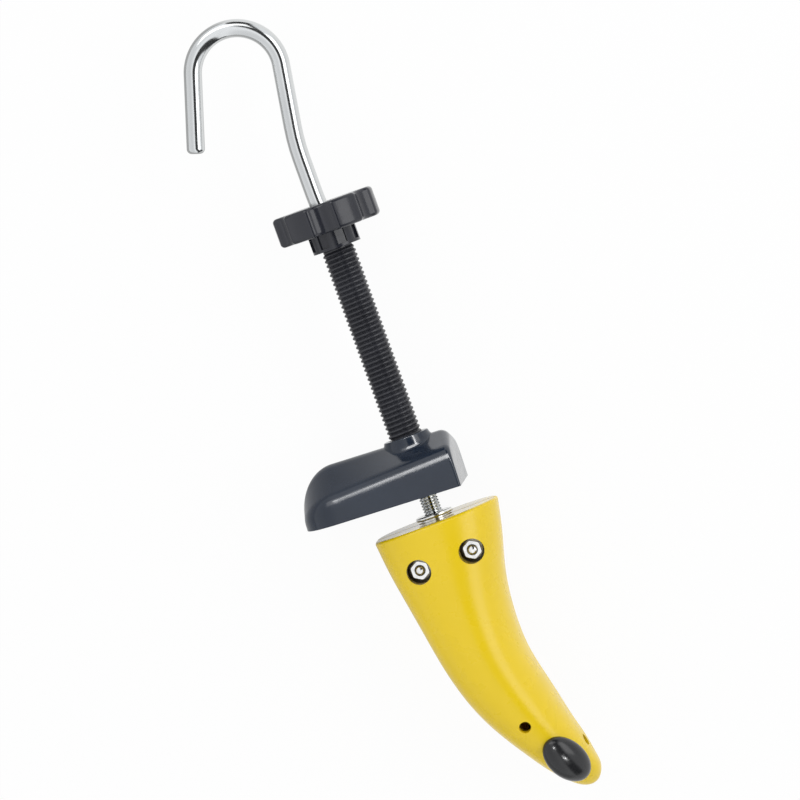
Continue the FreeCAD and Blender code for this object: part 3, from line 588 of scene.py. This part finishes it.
class STRETCHER_OT_toe(bpy.types.Operator):
    """Builds the two yellow toe halves"""

    bl_idname = "stretcher.toe"
    bl_label = "Toe halves"

    def execute(self, context):
        settings = context.scene.shoe_stretcher
        sizes = settings.toe
        floor = RECESS_FLOOR + RECESS_CLEAR
        tools = [rod_bar("recess", RECESS_RADIUS, floor, TOOL_END, (x, y, 0), UP)
                 for x, y in BOLT_PLACES]
        for station, turn in PLUG_HOLES:
            point, normal = surface_frame(sizes, station, turn)
            tools.append(rod_bar("hole", PLUG_HOLE_RADIUS, *PLUG_HOLE_SPAN, point, normal))
        shell = cut_mesh("shell", toe_shell_mesh("toe", sizes), joined("tools", tools))
        extras = [bolt_cup("cup", sizes, x, y) for x, y in BOLT_PLACES]
        extras += [toe_rib("rib", sizes, y) for y in TOE_RIBS]
        near = joined("near_toe_look", [shell] + extras)
        toe_painted_shade_and_polish(near, sizes)
        far = mirrored(near, "far_toe_look")
        material = make_material("yellow_plastic", settings.colours)
        for half, mesh in (("near", near), ("far", far)):
            add_piece(half + "_toe_look", mesh, half + "_half", material,
                      [half + "_toe_shell"])
        return {"FINISHED"}


def heel_roof(width, shoulder):
    """Peak height of the roof and half the angle there, found by repeated steps, so that the
    rounded ridge just reaches its height."""
    peak = np.full_like(shoulder, HEEL_RIDGE)
    for _ in range(ROOF_TRIES):
        angle = np.arctan2(width, peak - shoulder)
        peak = HEEL_RIDGE + HEEL_RIDGE_RADIUS * (1 / np.sin(angle) - 1)
    return peak, angle


def shoulder_at(x):
    """Height of the shoulders, which rise towards the flat end."""
    return np.interp(x, (HEEL_STRAIGHT, HEEL_END), HEEL_SHOULDERS)


def heel_section(x, width, drop):
    """Points (height, sideways) of the heel's section at some places: wall, rounded shoulder,
    straight roof and round ridge, mirrored. The drop lowers roof and shoulders for the inside."""
    shoulder = shoulder_at(x) - SHOULDER_DROP * drop
    peak = heel_roof(width, shoulder)[0] - drop
    angle = np.arctan2(width, peak - shoulder)
    spring = shoulder - HEEL_SHOULDER_RADIUS * np.tan(angle / 2)
    wall = HEEL_FRONT + (spring - HEEL_FRONT)[:, None] * np.linspace(0, 1, WALL_ROWS)[:-1]
    turn = angle[:, None] * np.linspace(0, 1, ARC_ROWS)
    arc_z = width - HEEL_SHOULDER_RADIUS * (1 - np.cos(turn))
    arc_y = spring[:, None] + HEEL_SHOULDER_RADIUS * np.sin(turn)
    ridge = np.cos(angle)[:, None] * np.linspace(1, 0, ARC_ROWS)
    ridge_z = HEEL_RIDGE_RADIUS * ridge
    centre = (peak - HEEL_RIDGE_RADIUS / np.sin(angle))[:, None]
    ridge_y = centre + HEEL_RIDGE_RADIUS * np.sqrt(1 - ridge ** 2)
    share = np.linspace(0, 1, ROOF_ROWS)[1:-1]
    roof_z = arc_z[:, -1:] + (ridge_z[:, :1] - arc_z[:, -1:]) * share
    roof_y = arc_y[:, -1:] + (ridge_y[:, :1] - arc_y[:, -1:]) * share
    half_y = np.concatenate([wall, arc_y, roof_y, ridge_y], 1)
    half_z = np.concatenate([np.full_like(wall, width), arc_z, roof_z, ridge_z], 1)
    heights = np.concatenate([half_y, half_y[:, -2::-1]], 1)
    return heights, np.concatenate([half_z, -half_z[:, -2::-1]], 1)


def heel_sheet(width, inset):
    """Outside or inside of the heel: the section carried along x, drawn in to a round end and
    closed by a flat one, then tilted.

    The edge of the flat end is rounded, more at the ridge than at the walls."""
    turn = np.linspace(QUARTER_TURN, 0, ROUND_ROWS)
    along = np.linspace(HEEL_STRAIGHT, HEEL_END - inset, BODY_ROWS)[1:]
    bend = np.linspace(0, QUARTER_TURN, END_ROWS)[1:]
    last = np.full(len(bend), along[-1])
    places = np.concatenate([np.full(ROUND_ROWS, HEEL_STRAIGHT), along, last])
    height, sideways = heel_section(places, width, inset)
    body = np.ones(len(along) + len(bend))
    tall = np.concatenate([np.cos(turn), body])[:, None]
    broad = (1 - np.sin(turn) ** HEEL_PLAN_POWER).clip(0) ** (1 / HEEL_PLAN_POWER)
    broad = np.concatenate([broad, body])[:, None]
    share = ((height - HEEL_FRONT) / (HEEL_RIDGE - HEEL_FRONT)).clip(0, 1)
    low, high = HEEL_END_ROUNDS
    soft = (low + (high - low) * share ** 3) * (inset == 0)
    ahead = np.concatenate([np.zeros(ROUND_ROWS), np.linspace(0, 1, BODY_ROWS)[1:], last ** 0])
    bend = np.concatenate([np.zeros(len(places) - len(bend)), bend])[:, None]
    run = HEEL_END - inset - soft - HEEL_STRAIGHT
    x = HEEL_STRAIGHT + ahead[:, None] * run + soft * np.sin(bend)
    x[:ROUND_ROWS] -= (HEEL_ROUND - inset) * np.sin(turn)[:, None]
    drawn = soft * (1 - np.cos(bend))
    over = np.maximum(height - HEEL_BASE, 0) * tall
    height = np.minimum(height, HEEL_BASE) + over - drawn * share
    sideways = sideways * broad * (1 - drawn / width)
    points = np.stack([x, height, sideways], 2)
    foot = points[-1] * np.array([1, 0, 1]) + np.array([0, HEEL_FRONT, 0])
    fill = points[-1] + (foot - points[-1]) * np.linspace(0, 1, FILL_ROWS)[1:, None, None]
    return heel_tilted(np.concatenate([points, fill]))


def heel_tilted(points):
    """Turns the heel about the rod's crossing with its front."""
    x, y = points[..., 0], points[..., 1] - HEEL_FRONT
    c, s = math.cos(HEEL_TILT), math.sin(HEEL_TILT)
    return np.stack([x * c + y * s, HEEL_FRONT - x * s + y * c, points[..., 2]], -1)


def roof_height(x, z, width):
    """Height of the tilted heel's roof over plan points, found by repeated steps."""
    y = np.full_like(x, HEEL_RIDGE)
    c, s = math.cos(HEEL_TILT), math.sin(HEEL_TILT)
    for _ in range(TILT_TRIES):
        own_x = x * c - (y - HEEL_FRONT) * s
        shoulder = shoulder_at(own_x)
        peak, angle = heel_roof(width, shoulder)
        flat = peak - (peak - shoulder) / width * abs(z)
        crown = peak - HEEL_RIDGE_RADIUS / np.sin(angle)
        crown = crown + np.sqrt(np.maximum(HEEL_RIDGE_RADIUS ** 2 - z ** 2, 0))
        own_y = np.where(abs(z) < HEEL_RIDGE_RADIUS * np.cos(angle), crown, flat)
        beyond = np.clip((HEEL_STRAIGHT - own_x) / HEEL_ROUND, 0, 1)
        own_y = HEEL_BASE + (own_y - HEEL_BASE) * np.sqrt(1 - beyond ** 2)
        y = HEEL_FRONT - own_x * s + (own_y - HEEL_FRONT) * c
    return y


def heel_boss(sizes):
    """Boss on the sleeve: a steep cone whose foot flares into the roof by a smooth maximum of the
    two heights and ends sunk below it, with a lip, a bore and a pocket under it."""
    flare, edge = in_mm(sizes.flare), BOSS_TOP - BOSS_LIP
    (near_end, far_end), (near_rows, far_rows) = BOSS_SKIRT, BOSS_SKIRT_ROWS
    out = np.concatenate([np.linspace(0, near_end, near_rows),
                          np.linspace(near_end, far_end, far_rows)[1:]])[:, None]
    angle = circle(BOSS_STEPS)
    x, z = (BOSS_RADIUS + out) * np.cos(angle), (BOSS_RADIUS + out) * np.sin(angle)
    roof = roof_height(x, z, in_mm(sizes.half_width))
    cone = edge - BOSS_FALL * (1 - np.exp(-out / flare))
    near = np.maximum(BOSS_BLEND - abs(cone - roof), 0) / BOSS_BLEND
    y = np.maximum(cone, roof) + near ** 2 * BOSS_BLEND / 4
    y -= BOSS_SINK * np.clip((roof - cone - BOSS_BLEND) / BOSS_SINK_SPAN, 0, 1) ** 2
    bend = np.linspace(0, QUARTER_TURN, LIP_ROWS)[:-1]
    lip = np.stack([BOSS_RADIUS - BOSS_LIP * (1 - np.sin(bend)), edge + BOSS_LIP * np.cos(bend)], 1)
    bore = [(BOSS_BORE, BOSS_TOP - BOSS_EDGE), (BOSS_BORE + BOSS_EDGE, BOSS_TOP)]
    low = HEEL_FRONT + POCKET_RISE
    under = [(POCKET_OUTER, POCKET_FOOT), (POCKET_OUTER, low), (POCKET_RADIUS, low),
             (POCKET_RADIUS, POCKET_TOP), (BOSS_BORE, POCKET_TOP)]
    top = turned(np.concatenate([bore, lip]), BOSS_STEPS, ORIGIN, ALONG, RIGHT)
    under = turned(under, BOSS_STEPS, ORIGIN, ALONG, RIGHT)
    points = np.concatenate([top, np.stack([x, y, -z], 2), under])
    return solid_mesh("boss", points, grid_quads(len(points), BOSS_STEPS, True, True))


def heel_rib(name, start, end, low, width):
    """Rib between two plan points, from a low edge up to inside the roof's wall."""
    start, end = np.array(start, float), np.array(end, float)
    line = start + (end - start) * np.linspace(0, 1, HEEL_RIB_ROWS)[:, None]
    across = np.array([end[1] - start[1], start[0] - end[0]])
    across *= RIB_HALF / np.linalg.norm(across)
    points = np.zeros((HEEL_RIB_ROWS, 4, 3))
    points[..., 0] = line[:, :1] + BAR_SIDES * across[0]
    points[..., 2] = line[:, 1:] + BAR_SIDES * across[1]
    points[:, :2, 1] = low
    points[:, 2:, 1] = roof_height(points[:, 2:, 0], points[:, 2:, 2], width) - HEEL_SINK
    points[..., 1] = np.maximum(points[..., 1], low)
    return bar_solid(name, points)


class STRETCHER_OT_heel(bpy.types.Operator):
    """Builds the black heel piece with its flared boss"""

    bl_idname = "stretcher.heel"
    bl_label = "Heel piece"

    def execute(self, context):
        settings = context.scene.shoe_stretcher
        sizes = settings.heel
        width, wall = in_mm(sizes.half_width), in_mm(sizes.wall)
        shell = sheet_solid("shell", heel_sheet(width, 0), heel_sheet(width - wall, wall), -1)
        bore = rod_bar("bore", POCKET_RADIUS, TOOL_START, TOOL_END, ORIGIN, ALONG, BOSS_STEPS)
        reach = width - wall + HEEL_RIB_BURIED
        (back, front), (long_low, cross_low) = HEEL_RIB_ENDS, HEEL_RIB_LOWS
        ribs = (
            ((back, 0), (-HEEL_HUB, 0), long_low),
            ((HEEL_HUB, 0), (front, 0), long_low),
            ((0, -reach), (0, -HEEL_HUB), cross_low),
            ((0, HEEL_HUB), (0, reach), cross_low),
            ((HEEL_CROSS_RIB, -reach), (HEEL_CROSS_RIB, reach), cross_low),
        )
        made = [cut_mesh("heel", shell, bore), heel_boss(sizes)]
        made += [heel_rib("rib", start, end, low, width) for start, end, low in ribs]
        material = make_material("black_gloss", settings.colours)
        add_piece("heel_look", joined("heel_look", made), "heel", material,
                  ["heel_shell"], HEEL_SHARP_ANGLE)
        return {"FINISHED"}


class STRETCHER_OT_sleeve(bpy.types.Operator):
    """Builds the black threaded sleeve with a true helical thread"""

    bl_idname = "stretcher.sleeve"
    bl_label = "Threaded sleeve"

    def execute(self, context):
        settings = context.scene.shoe_stretcher
        sizes = settings.screw
        root, crest = in_mm(sizes.sleeve_root) / 2, in_mm(sizes.sleeve_crest) / 2
        bore = in_mm(sizes.sleeve_bore) / 2
        angle = circle(SLEEVE_STEPS)
        along = np.linspace(SLEEVE_START, SLEEVE_THREAD_END, SLEEVE_ROWS)
        radius = thread_radius(along, angle, root, crest, in_mm(sizes.sleeve_pitch))
        plain = np.array([(SLEEVE_NECK, SLEEVE_THREAD_END), (SLEEVE_NECK, SLEEVE_END),
                          (bore, SLEEVE_END), (bore, SLEEVE_START)])
        radius = np.concatenate([radius, np.repeat(plain[:, :1], SLEEVE_STEPS, 1)])
        along = np.concatenate([along, plain[:, 1]])
        points = lathe(radius, along[:, None], SLEEVE_STEPS, ORIGIN, ALONG, UP)
        mesh = solid_mesh("sleeve_look", points, grid_quads(len(along), SLEEVE_STEPS, True, True))
        material = make_material("black_thread", settings.colours)
        add_piece("sleeve_look", mesh, "screw_sleeve", material,
                  ["threaded_sleeve"])
        return {"FINISHED"}


def heading_of(angle):
    return np.array([math.cos(angle), math.sin(angle)])


def rod_path(moves):
    """Centre line of the bent rod above its thread: straight runs (length) and tangent bends
    (degrees, radius), as places and headings."""
    point, heading = np.array([0.0, ROD_THREAD[1]]), QUARTER_TURN
    places, headings = [], []
    for length, turn, radius in moves:
        run = np.linspace(0, length, max(int(length / PATH_STEP), 2))
        places.append(point + run[:, None] * heading_of(heading))
        headings.append(np.full(len(run), heading))
        point = places[-1][-1]
        if turn:
            side = math.copysign(radius, turn)
            steps = max(int(abs(turn) / BEND_STEP), 4)
            at = heading + np.linspace(0, math.radians(turn), steps)
            centre = point + np.array([-math.sin(heading), math.cos(heading)]) * side
            places.append(centre + side * np.stack([np.sin(at), -np.cos(at)], 1))
            headings.append(at)
            point, heading = places[-1][-1], at[-1]
    return np.concatenate(places), np.concatenate(headings)


class STRETCHER_OT_rod(bpy.types.Operator):
    """Builds the chromed rod: swivel end, helical thread, shank and hook"""

    bl_idname = "stretcher.rod"
    bl_label = "Rod with hook"

    def execute(self, context):
        settings = context.scene.shoe_stretcher
        sizes = settings.screw
        rod = in_mm(sizes.rod) / 2
        end_round = ROD_END_SHARE * rod
        root, crest = in_mm(sizes.rod_root) / 2, in_mm(sizes.rod_crest) / 2
        hook = (HOOK_RUN, HOOK_TURN, in_mm(sizes.hook_radius))
        leg = (in_mm(sizes.hook_leg) - end_round, 0, 0)
        places, headings = rod_path(ROD_BENDS + (hook, leg))
        bend = np.linspace(0, QUARTER_TURN, TIP_ROWS)[1:]
        tip = places[-1] + end_round * np.sin(bend)[:, None] * heading_of(headings[-1])
        tip_radius = np.append(rod - end_round * (1 - np.cos(bend)), 0)
        angle = circle(ROD_STEPS)
        swivel = np.array(SWIVEL_PROFILE)
        along = np.linspace(*ROD_THREAD, ROD_ROWS)
        thread = thread_radius(along, angle, root, crest, in_mm(sizes.rod_pitch))
        radii = np.concatenate([np.repeat(swivel[:, :1], ROD_STEPS, 1), thread,
                                np.full((len(places), ROD_STEPS), rod),
                                np.repeat(tip_radius[:, None], ROD_STEPS, 1)])
        low = np.concatenate([swivel[:, 1], along])
        line = np.concatenate([np.stack([0 * low, low], 1), places, tip, tip[-1:]])
        facing = np.concatenate([np.full(len(low), QUARTER_TURN), headings,
                                 np.full(len(tip_radius), headings[-1])])
        sideways = np.stack([np.sin(facing), -np.cos(facing)], 1)
        flat = line[:, None] + (radii * np.sin(angle))[..., None] * sideways[:, None]
        points = np.concatenate([flat, (radii * np.cos(angle))[..., None]], 2)
        mesh = solid_mesh("rod_look", points, grid_quads(len(line), ROD_STEPS, wrap_columns=True))
        material = make_material("chrome_steel", settings.colours)
        add_piece("rod_look", mesh, "hook_rod", material, ["hook_rod"])
        return {"FINISHED"}


def hex_nut_mesh(name, point, axis, side):
    """Hexagon nut: its outline is the flat's reach over the cosine within each sixth of a turn,
    and a cone cuts the corners of both ends."""
    sixth = FULL_TURN / 6
    flat = NUT_FLATS / 2
    reach = flat / np.cos((circle(NUT_STEPS) + sixth / 2) % sixth - sixth / 2)
    flush = np.minimum(reach, flat * NUT_CORNER)
    drop = (reach - flush) * math.tan(NUT_CHAMFER)
    lip = NUT_BORE * NUT_LIP
    hole, base = np.full(NUT_STEPS, NUT_BORE), np.zeros(NUT_STEPS)
    radius = np.stack([hole, hole + lip, flush, reach, reach, flush, hole + lip, hole])
    level = np.stack([base + lip, base, base, drop, NUT_HEIGHT - drop, base + NUT_HEIGHT,
                      base + NUT_HEIGHT, base + NUT_HEIGHT - lip])
    points = lathe(radius, level, NUT_STEPS, point, axis, side)
    return solid_mesh(name, points, grid_quads(len(level), NUT_STEPS, True, True))


def washer_profile(inner, outer, low, high, edge):
    """Flat ring with softened edges."""
    soft = SOFT_SHARE * edge
    return [(inner, low), (outer - edge, low), (outer - soft, low + soft), (outer, low + edge),
            (outer, high - edge), (outer - soft, high - soft), (outer - edge, high), (inner, high)]


def bolt_mesh(name, x, y):
    """Bolt of a toe half: round head, shank and a threaded end with a chamfer."""
    angle = circle(BOLT_STEPS)
    along = np.linspace(*BOLT_THREAD, BOLT_ROWS)
    taper = np.clip((BOLT_THREAD[1] - along) / BOLT_TAPER, 0, 1)[:, None]
    rise = thread_rise(along[:, None], angle, BOLT_PITCH) * np.clip(taper * BOLT_FADE, 0, 1)
    thread = BOLT_ROOT + BOLT_RISE * rise - BOLT_POINT * (1 - taper)
    head = np.array(BOLT_HEAD)
    end = np.zeros((1, BOLT_STEPS))
    radii = np.concatenate([np.repeat(head[:, :1], BOLT_STEPS, 1), thread, end])
    level = np.concatenate([head[:, 1], along, BOLT_THREAD[1:]])
    points = lathe(radii, level[:, None], BOLT_STEPS, (x, y, 0), UP, RIGHT)
    return solid_mesh(name, points, grid_quads(len(level), BOLT_STEPS, wrap_columns=True))


class STRETCHER_OT_fasteners(bpy.types.Operator):
    """Builds the bolts, nuts and washers of both halves and the washer on the toe"""

    bl_idname = "stretcher.fasteners"
    bl_label = "Fasteners"

    def execute(self, context):
        material = make_material("zinc_steel", context.scene.shoe_stretcher.colours)
        seat = RECESS_FLOOR + BOLT_WASHER_HEIGHT
        washer = washer_profile(BOLT_HOLE, BOLT_WASHER_RADIUS, RECESS_FLOOR, seat, BOLT_WASHER_EDGE)
        corner = (math.cos(HALF_TURN / 3), math.sin(HALF_TURN / 3), 0)
        made = {"bolts": [], "bolt_washers": [], "bolt_nuts": []}
        for x, y in BOLT_PLACES:
            made["bolts"].append(bolt_mesh("bolt", x, y))
            made["bolt_washers"].append(
                ring_solid("washer", washer, RING_STEPS, (x, y, 0), UP, ALONG))
            made["bolt_nuts"].append(hex_nut_mesh("nut", (x, y, seat), UP, corner))
        for kind, meshes in made.items():
            near = joined("near_" + kind + "_look", meshes)
            far = mirrored(near, "far_" + kind + "_look")
            for half, mesh in (("near", near), ("far", far)):
                node = half + "_" + kind
                add_piece(node + "_look", mesh, half + "_half", material, [node],
                          NUT_SHARP_ANGLE)
        ring = washer_profile(*TOP_WASHER_RADII, NECK_STAND, NECK_STAND + TOP_WASHER_HEIGHT,
                              TOP_WASHER_EDGE)
        mesh = ring_solid("top_washer_look", ring, TOP_WASHER_STEPS, ORIGIN, ALONG, RIGHT)
        add_piece("top_washer_look", mesh, "frame", material, ["top_washer"])
        return {"FINISHED"}


DRIFT_RANGE, SCRATCH_RANGE = (0.3, 0.7), {"From Min": 0.35, "From Max": 0.7}
DRIFT_DETAIL, SCRATCH_DETAIL, RELIEF_DETAIL = 3, 6, 3
RELIEF_SCALE, RELIEF_DEPTH = 1.7, 0.0002


class Finish(NamedTuple):
    """Look of a material: its colour's setting, how much darker its dark patches are, its
    roughness, the scales of its noise and its relief. One with painted shade and polish reads the
    toe's attributes."""

    colour: str
    shift: float
    roughness: tuple
    coarse: float
    fine: float
    relief: float
    metallic: float = 0
    stretch: tuple = (1, 1, 1)
    # Reads the shade attribute as painted shade on the colour and the polish attribute on the
    # roughness
    painted_shade_and_polish: bool = False


FINISHES = {
    "yellow_plastic": Finish("yellow", 0.05, (0.25, 0.33), 25, 120, 0.005, painted_shade_and_polish=True),
    "black_gloss": Finish("heel", 0.2, (0.12, 0.2), 40, 300, 0.015),
    "black_knob": Finish("knob", 0.2, (0.14, 0.22), 60, 300, 0.015),
    "black_thread": Finish("screw", 0.3, (0.28, 0.4), 80, 600, 0.05),
    "black_rubber": Finish("plug", 0.25, (0.17, 0.25), 90, 800, 0.03),
    "chrome_steel": Finish("chrome", 0.06, (0.1, 0.18), 60, 500, 0.02, 1, (1, 0.08, 1)),
    "zinc_steel": Finish("zinc", 0.12, (0.12, 0.25), 150, 900, 0.04, 1),
}


def feed(tree, node, inputs):
    """Sets inputs of a node: to a value, or to an output given as another node and its socket."""
    for socket, value in inputs.items():
        if isinstance(value, tuple) and isinstance(value[0], bpy.types.Node):
            tree.links.new(value[0].outputs[value[1]], node.inputs[socket])
        else:
            node.inputs[socket].default_value = value


def new_node(tree, kind, inputs=None, **settings):
    """Adds a node with its inputs and its own settings."""
    node = tree.nodes.new("ShaderNode" + kind)
    for key, value in settings.items():
        setattr(node, key, value)
    feed(tree, node, inputs or {})
    return node


def noise_node(tree, coordinates, scale, detail, stretch=(1, 1, 1)):
    """Noise on the object's own coordinates, with an optional stretch."""
    mapping = new_node(tree, "Mapping", {"Vector": (coordinates, "Object"), "Scale": stretch})
    vector = (mapping, "Vector")
    return new_node(tree, "TexNoise", {"Vector": vector, "Scale": scale, "Detail": detail})


def make_material(name, colours):
    """Surface whose colour drifts with a coarse noise, whose gloss is broken by fine scratches
    and whose relief is a fine noise. On the toe's one an attribute darkens the colour as painted
    shade in the recesses and another scales the roughness."""
    finish = FINISHES[name]
    colour = np.array(getattr(colours, finish.colour))
    material = bpy.data.materials.new(name)
    material.use_nodes = True
    tree = material.node_tree
    coordinates = new_node(tree, "TexCoord")
    drift = noise_node(tree, coordinates, finish.coarse, DRIFT_DETAIL)
    ramp = new_node(tree, "ValToRGB", {"Fac": (drift, "Fac")})
    dark, light = ramp.color_ramp.elements
    dark.position, light.position = DRIFT_RANGE
    dark.color, light.color = (*colour * (1 - finish.shift), 1), (*colour, 1)
    scratch = noise_node(tree, coordinates, finish.fine, SCRATCH_DETAIL, finish.stretch)
    low, high = finish.roughness
    gloss = new_node(tree, "MapRange", {
        "Value": (scratch, "Fac"), "To Min": low, "To Max": high, **SCRATCH_RANGE})
    base, rough = (ramp, "Color"), (gloss, "Result")
    # Painted shade: the shade attribute darkens the base colour in the toe's recesses
    if finish.painted_shade_and_polish:
        shade = new_node(tree, "Attribute", attribute_name="shade"), "Fac"
        polish = new_node(tree, "Attribute", attribute_name="polish"), "Fac"
        base = new_node(tree, "VectorMath", {0: base, "Scale": shade}, operation="SCALE"), "Vector"
        rough = new_node(tree, "Math", {0: rough, 1: polish}, operation="MULTIPLY"), "Value"
    relief = noise_node(tree, coordinates, finish.fine * RELIEF_SCALE, RELIEF_DETAIL)
    bumps = new_node(tree, "Bump", {
        "Height": (relief, "Fac"), "Strength": finish.relief, "Distance": RELIEF_DEPTH})
    feed(tree, tree.nodes["Principled BSDF"], {
        "Base Color": base, "Metallic": finish.metallic, "Roughness": rough,
        "Normal": (bumps, "Normal")})
    return material


class STRETCHER_OT_finishes(bpy.types.Operator):
    """Gives the CAD pieces that stay in view their finishes"""

    bl_idname = "stretcher.finishes"
    bl_label = "Finishes of the CAD pieces"

    def execute(self, context):
        colours = context.scene.shoe_stretcher.colours
        black = {"hand_knob": "black_knob", "bunion_plug": "black_rubber"}
        zinc = make_material("zinc_steel", colours)
        for name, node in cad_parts.items():
            if node.hide_render:
                continue
            material = make_material(black[name], colours) if name in black else zinc
            node.data.materials.clear()
            node.data.materials.append(material)
        return {"FINISHED"}


def sideways(tree, kind):
    """The x of the coordinates of some kind, as an output."""
    coordinates = new_node(tree, "TexCoord")
    return new_node(tree, "SeparateXYZ", {"Vector": (coordinates, kind)}), "X"


def floor_material():
    """Pale floor that the camera sees as white, with the object's soft shadow left on it. In
    reflections it is paler on the right of the object than on the left."""
    material = bpy.data.materials.new("floor")
    material.use_nodes = True
    tree = material.node_tree
    shader = tree.nodes["Principled BSDF"]
    feed(tree, shader, FLOOR_LOOK)
    across = new_node(tree, "MapRange", {"Value": sideways(tree, "Object"), **MIRRORED_FLOOR})
    path = new_node(tree, "LightPath")
    camera, glossy = (path, "Is Camera Ray"), (path, "Is Glossy Ray")

    def value(operation, first, second):
        return new_node(tree, "Math", {0: first, 1: second}, operation=operation), "Value"

    level = value("ADD", camera, value("MULTIPLY", glossy, (across, "Result")))
    glow = new_node(tree, "Emission", {"Strength": level})
    share = value("MULTIPLY", value("MAXIMUM", camera, glossy), FLOOR_GLOW)
    mix = new_node(tree, "MixShader", {"Fac": share, 1: (shader, "BSDF"), 2: (glow, "Emission")})
    feed(tree, tree.nodes["Material Output"], {"Surface": (mix, "Shader")})
    return material


def room_light(strength):
    """A pale, slightly blue room that is dark in a strip above the rod, where the camera is."""
    world = bpy.data.worlds.new("room")
    world.use_nodes = True
    tree = world.node_tree
    shift = new_node(tree, "MapRange", {
        "Value": sideways(tree, "Generated"), "From Min": -1, "From Max": 1})
    ramp = new_node(tree, "ValToRGB", {"Fac": (shift, "Result")})
    elements = ramp.color_ramp.elements
    while len(elements) < len(ROOM_STOPS):
        elements.new(0.5)
    for element, (place, level) in zip(elements, ROOM_STOPS):
        element.position = place
        element.color = (*[level * tint for tint in ROOM_TINT], 1)
    feed(tree, tree.nodes["Background"], {"Color": (ramp, "Color"), "Strength": strength})
    bpy.context.scene.world = world


def placed(right, up, back, place):
    """Matrix of a lamp or camera that looks against its back axis."""
    turn = np.eye(4)
    turn[:3] = np.stack([right, up, back, place], 1)
    return Matrix(turn.tolist())


def unit(vector):
    return vector / np.linalg.norm(vector)


def soft_box(name, place, target, width, height, power, mirrored_by=None):
    """A rectangular lamp that faces the object.

    One that is mirrored by a piece shines on that piece only and is seen only as a reflection."""
    lamp = bpy.data.lights.new(name, "AREA")
    lamp.shape = "RECTANGLE"
    lamp.size, lamp.size_y = width, height
    lamp.energy = power
    holder = bpy.data.objects.new(name, lamp)
    back = unit(np.array(place, float) - target)
    side = unit(np.cross(ALONG, back))
    holder.matrix_world = placed(side, np.cross(back, side), back, place)
    holder.visible_camera = False
    if mirrored_by:
        holder.visible_diffuse = False
        holder.light_linking.receiver_collection = bpy.data.collections.new(name + "_on")
        holder.light_linking.receiver_collection.objects.link(mirrored_by)
    bpy.context.scene.collection.objects.link(holder)


class STRETCHER_OT_stage(bpy.types.Operator):
    """Sets up the floor, the light and the camera at the photo's angle"""

    bl_idname = "stretcher.stage"
    bl_label = "Stage"

    def execute(self, context):
        scene = context.scene
        settings = scene.shoe_stretcher.stage
        corners = ((-1, -1), (1, -1), (1, 1), (-1, 1))
        mesh = bpy.data.meshes.new("floor")
        mesh.from_pydata([(x * FLOOR_REACH, y * FLOOR_REACH, 0) for x, y in corners], [],
                         [(0, 1, 2, 3)])
        mesh.materials.append(floor_material())
        floor = bpy.data.objects.new("floor", mesh)
        scene.collection.objects.link(floor)
        room_light(settings.sky)
        heel, plug = bpy.data.objects["heel_look"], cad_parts["bunion_plug"]
        lamp, shine, strip, spark = settings.lamp, settings.shine, settings.strip, settings.spark
        lamps = (
            ("right_box", (1.0, 0.1, 0.9), 0.7, 1.4, lamp, None),
            ("far_box", (0.4, 1.3, 1.1), 1.4, 0.7, shine, heel),
            ("boss_strip", (0.85, 0.6, 1.05), 0.12, 0.9, strip, heel),
            ("far_fill", (-0.1, 1.3, 1.1), 1.4, 0.7, lamp, None),
            ("high_spark", (-0.08, 0.05, 1.43), 0.12, 0.12, spark, plug),
            ("low_spark", (0.37, -0.94, 1.16), 0.09, 0.09, spark, plug),
        )
        for name, place, width, height, power, mirrored_by in lamps:
            soft_box(name, place, rod_origin(), width, height, power, mirrored_by)
        self.add_camera(scene, settings.distance)
        scene.view_settings.view_transform = "Standard"
        return {"FINISHED"}

    def add_camera(self, scene, distance):
        """Long lens looking down on the lying object, turned so the rod leans as in the photo."""
        flat = math.cos(CAMERA_PITCH)
        back = np.array([math.sin(CAMERA_ROLL) * flat, math.sin(CAMERA_PITCH),
                         math.cos(CAMERA_ROLL) * flat])
        up = unit(np.array(ALONG) - back[1] * back)
        right = np.cross(up, back)
        along, across, upward = CAMERA_AIM
        aim = np.array([0, along, 0]) + across * right + upward * up
        place = aim * MM + rod_origin() + back * distance
        c, s = math.cos(CAMERA_TILT), math.sin(CAMERA_TILT)
        camera = bpy.data.cameras.new("camera")
        camera.sensor_width = SENSOR
        camera.lens = SENSOR * PIXELS_PER_MM * in_mm(distance) / PICTURE
        camera.clip_end = CLIP_END
        holder = bpy.data.objects.new("camera", camera)
        holder.matrix_world = placed(c * right - s * up, s * right + c * up, back, place)
        scene.collection.objects.link(holder)
        scene.camera = holder


OPERATORS = (
    STRETCHER_OT_toe,
    STRETCHER_OT_heel,
    STRETCHER_OT_sleeve,
    STRETCHER_OT_rod,
    STRETCHER_OT_fasteners,
    STRETCHER_OT_finishes,
    STRETCHER_OT_stage,
)


class STRETCHER_PT_panel(bpy.types.Panel):
    """Lists the steps that build the stretcher"""

    bl_idname = "STRETCHER_PT_panel"
    bl_label = "Shoe stretcher"
    bl_space_type = "VIEW_3D"
    bl_region_type = "UI"
    bl_category = "Stretcher"

    def draw(self, context):
        for operator in OPERATORS:
            self.layout.operator(operator.bl_idname)


CLASSES = (
    StretcherColours, ToeSizes, HeelSizes, ScrewSizes, StageSettings, StretcherSettings,
    *OPERATORS, STRETCHER_PT_panel,
)


def register():
    for item in CLASSES:
        bpy.utils.register_class(item)
    bpy.types.Scene.shoe_stretcher = PointerProperty(type=StretcherSettings)


def unregister():
    del bpy.types.Scene.shoe_stretcher
    for item in reversed(CLASSES):
        bpy.utils.unregister_class(item)


def main():
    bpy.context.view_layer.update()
    register()
    bpy.ops.stretcher.toe()
    bpy.ops.stretcher.heel()
    bpy.ops.stretcher.sleeve()
    bpy.ops.stretcher.rod()
    bpy.ops.stretcher.fasteners()
    bpy.ops.stretcher.finishes()
    bpy.ops.stretcher.stage()


if __name__ == "__main__":
    main()
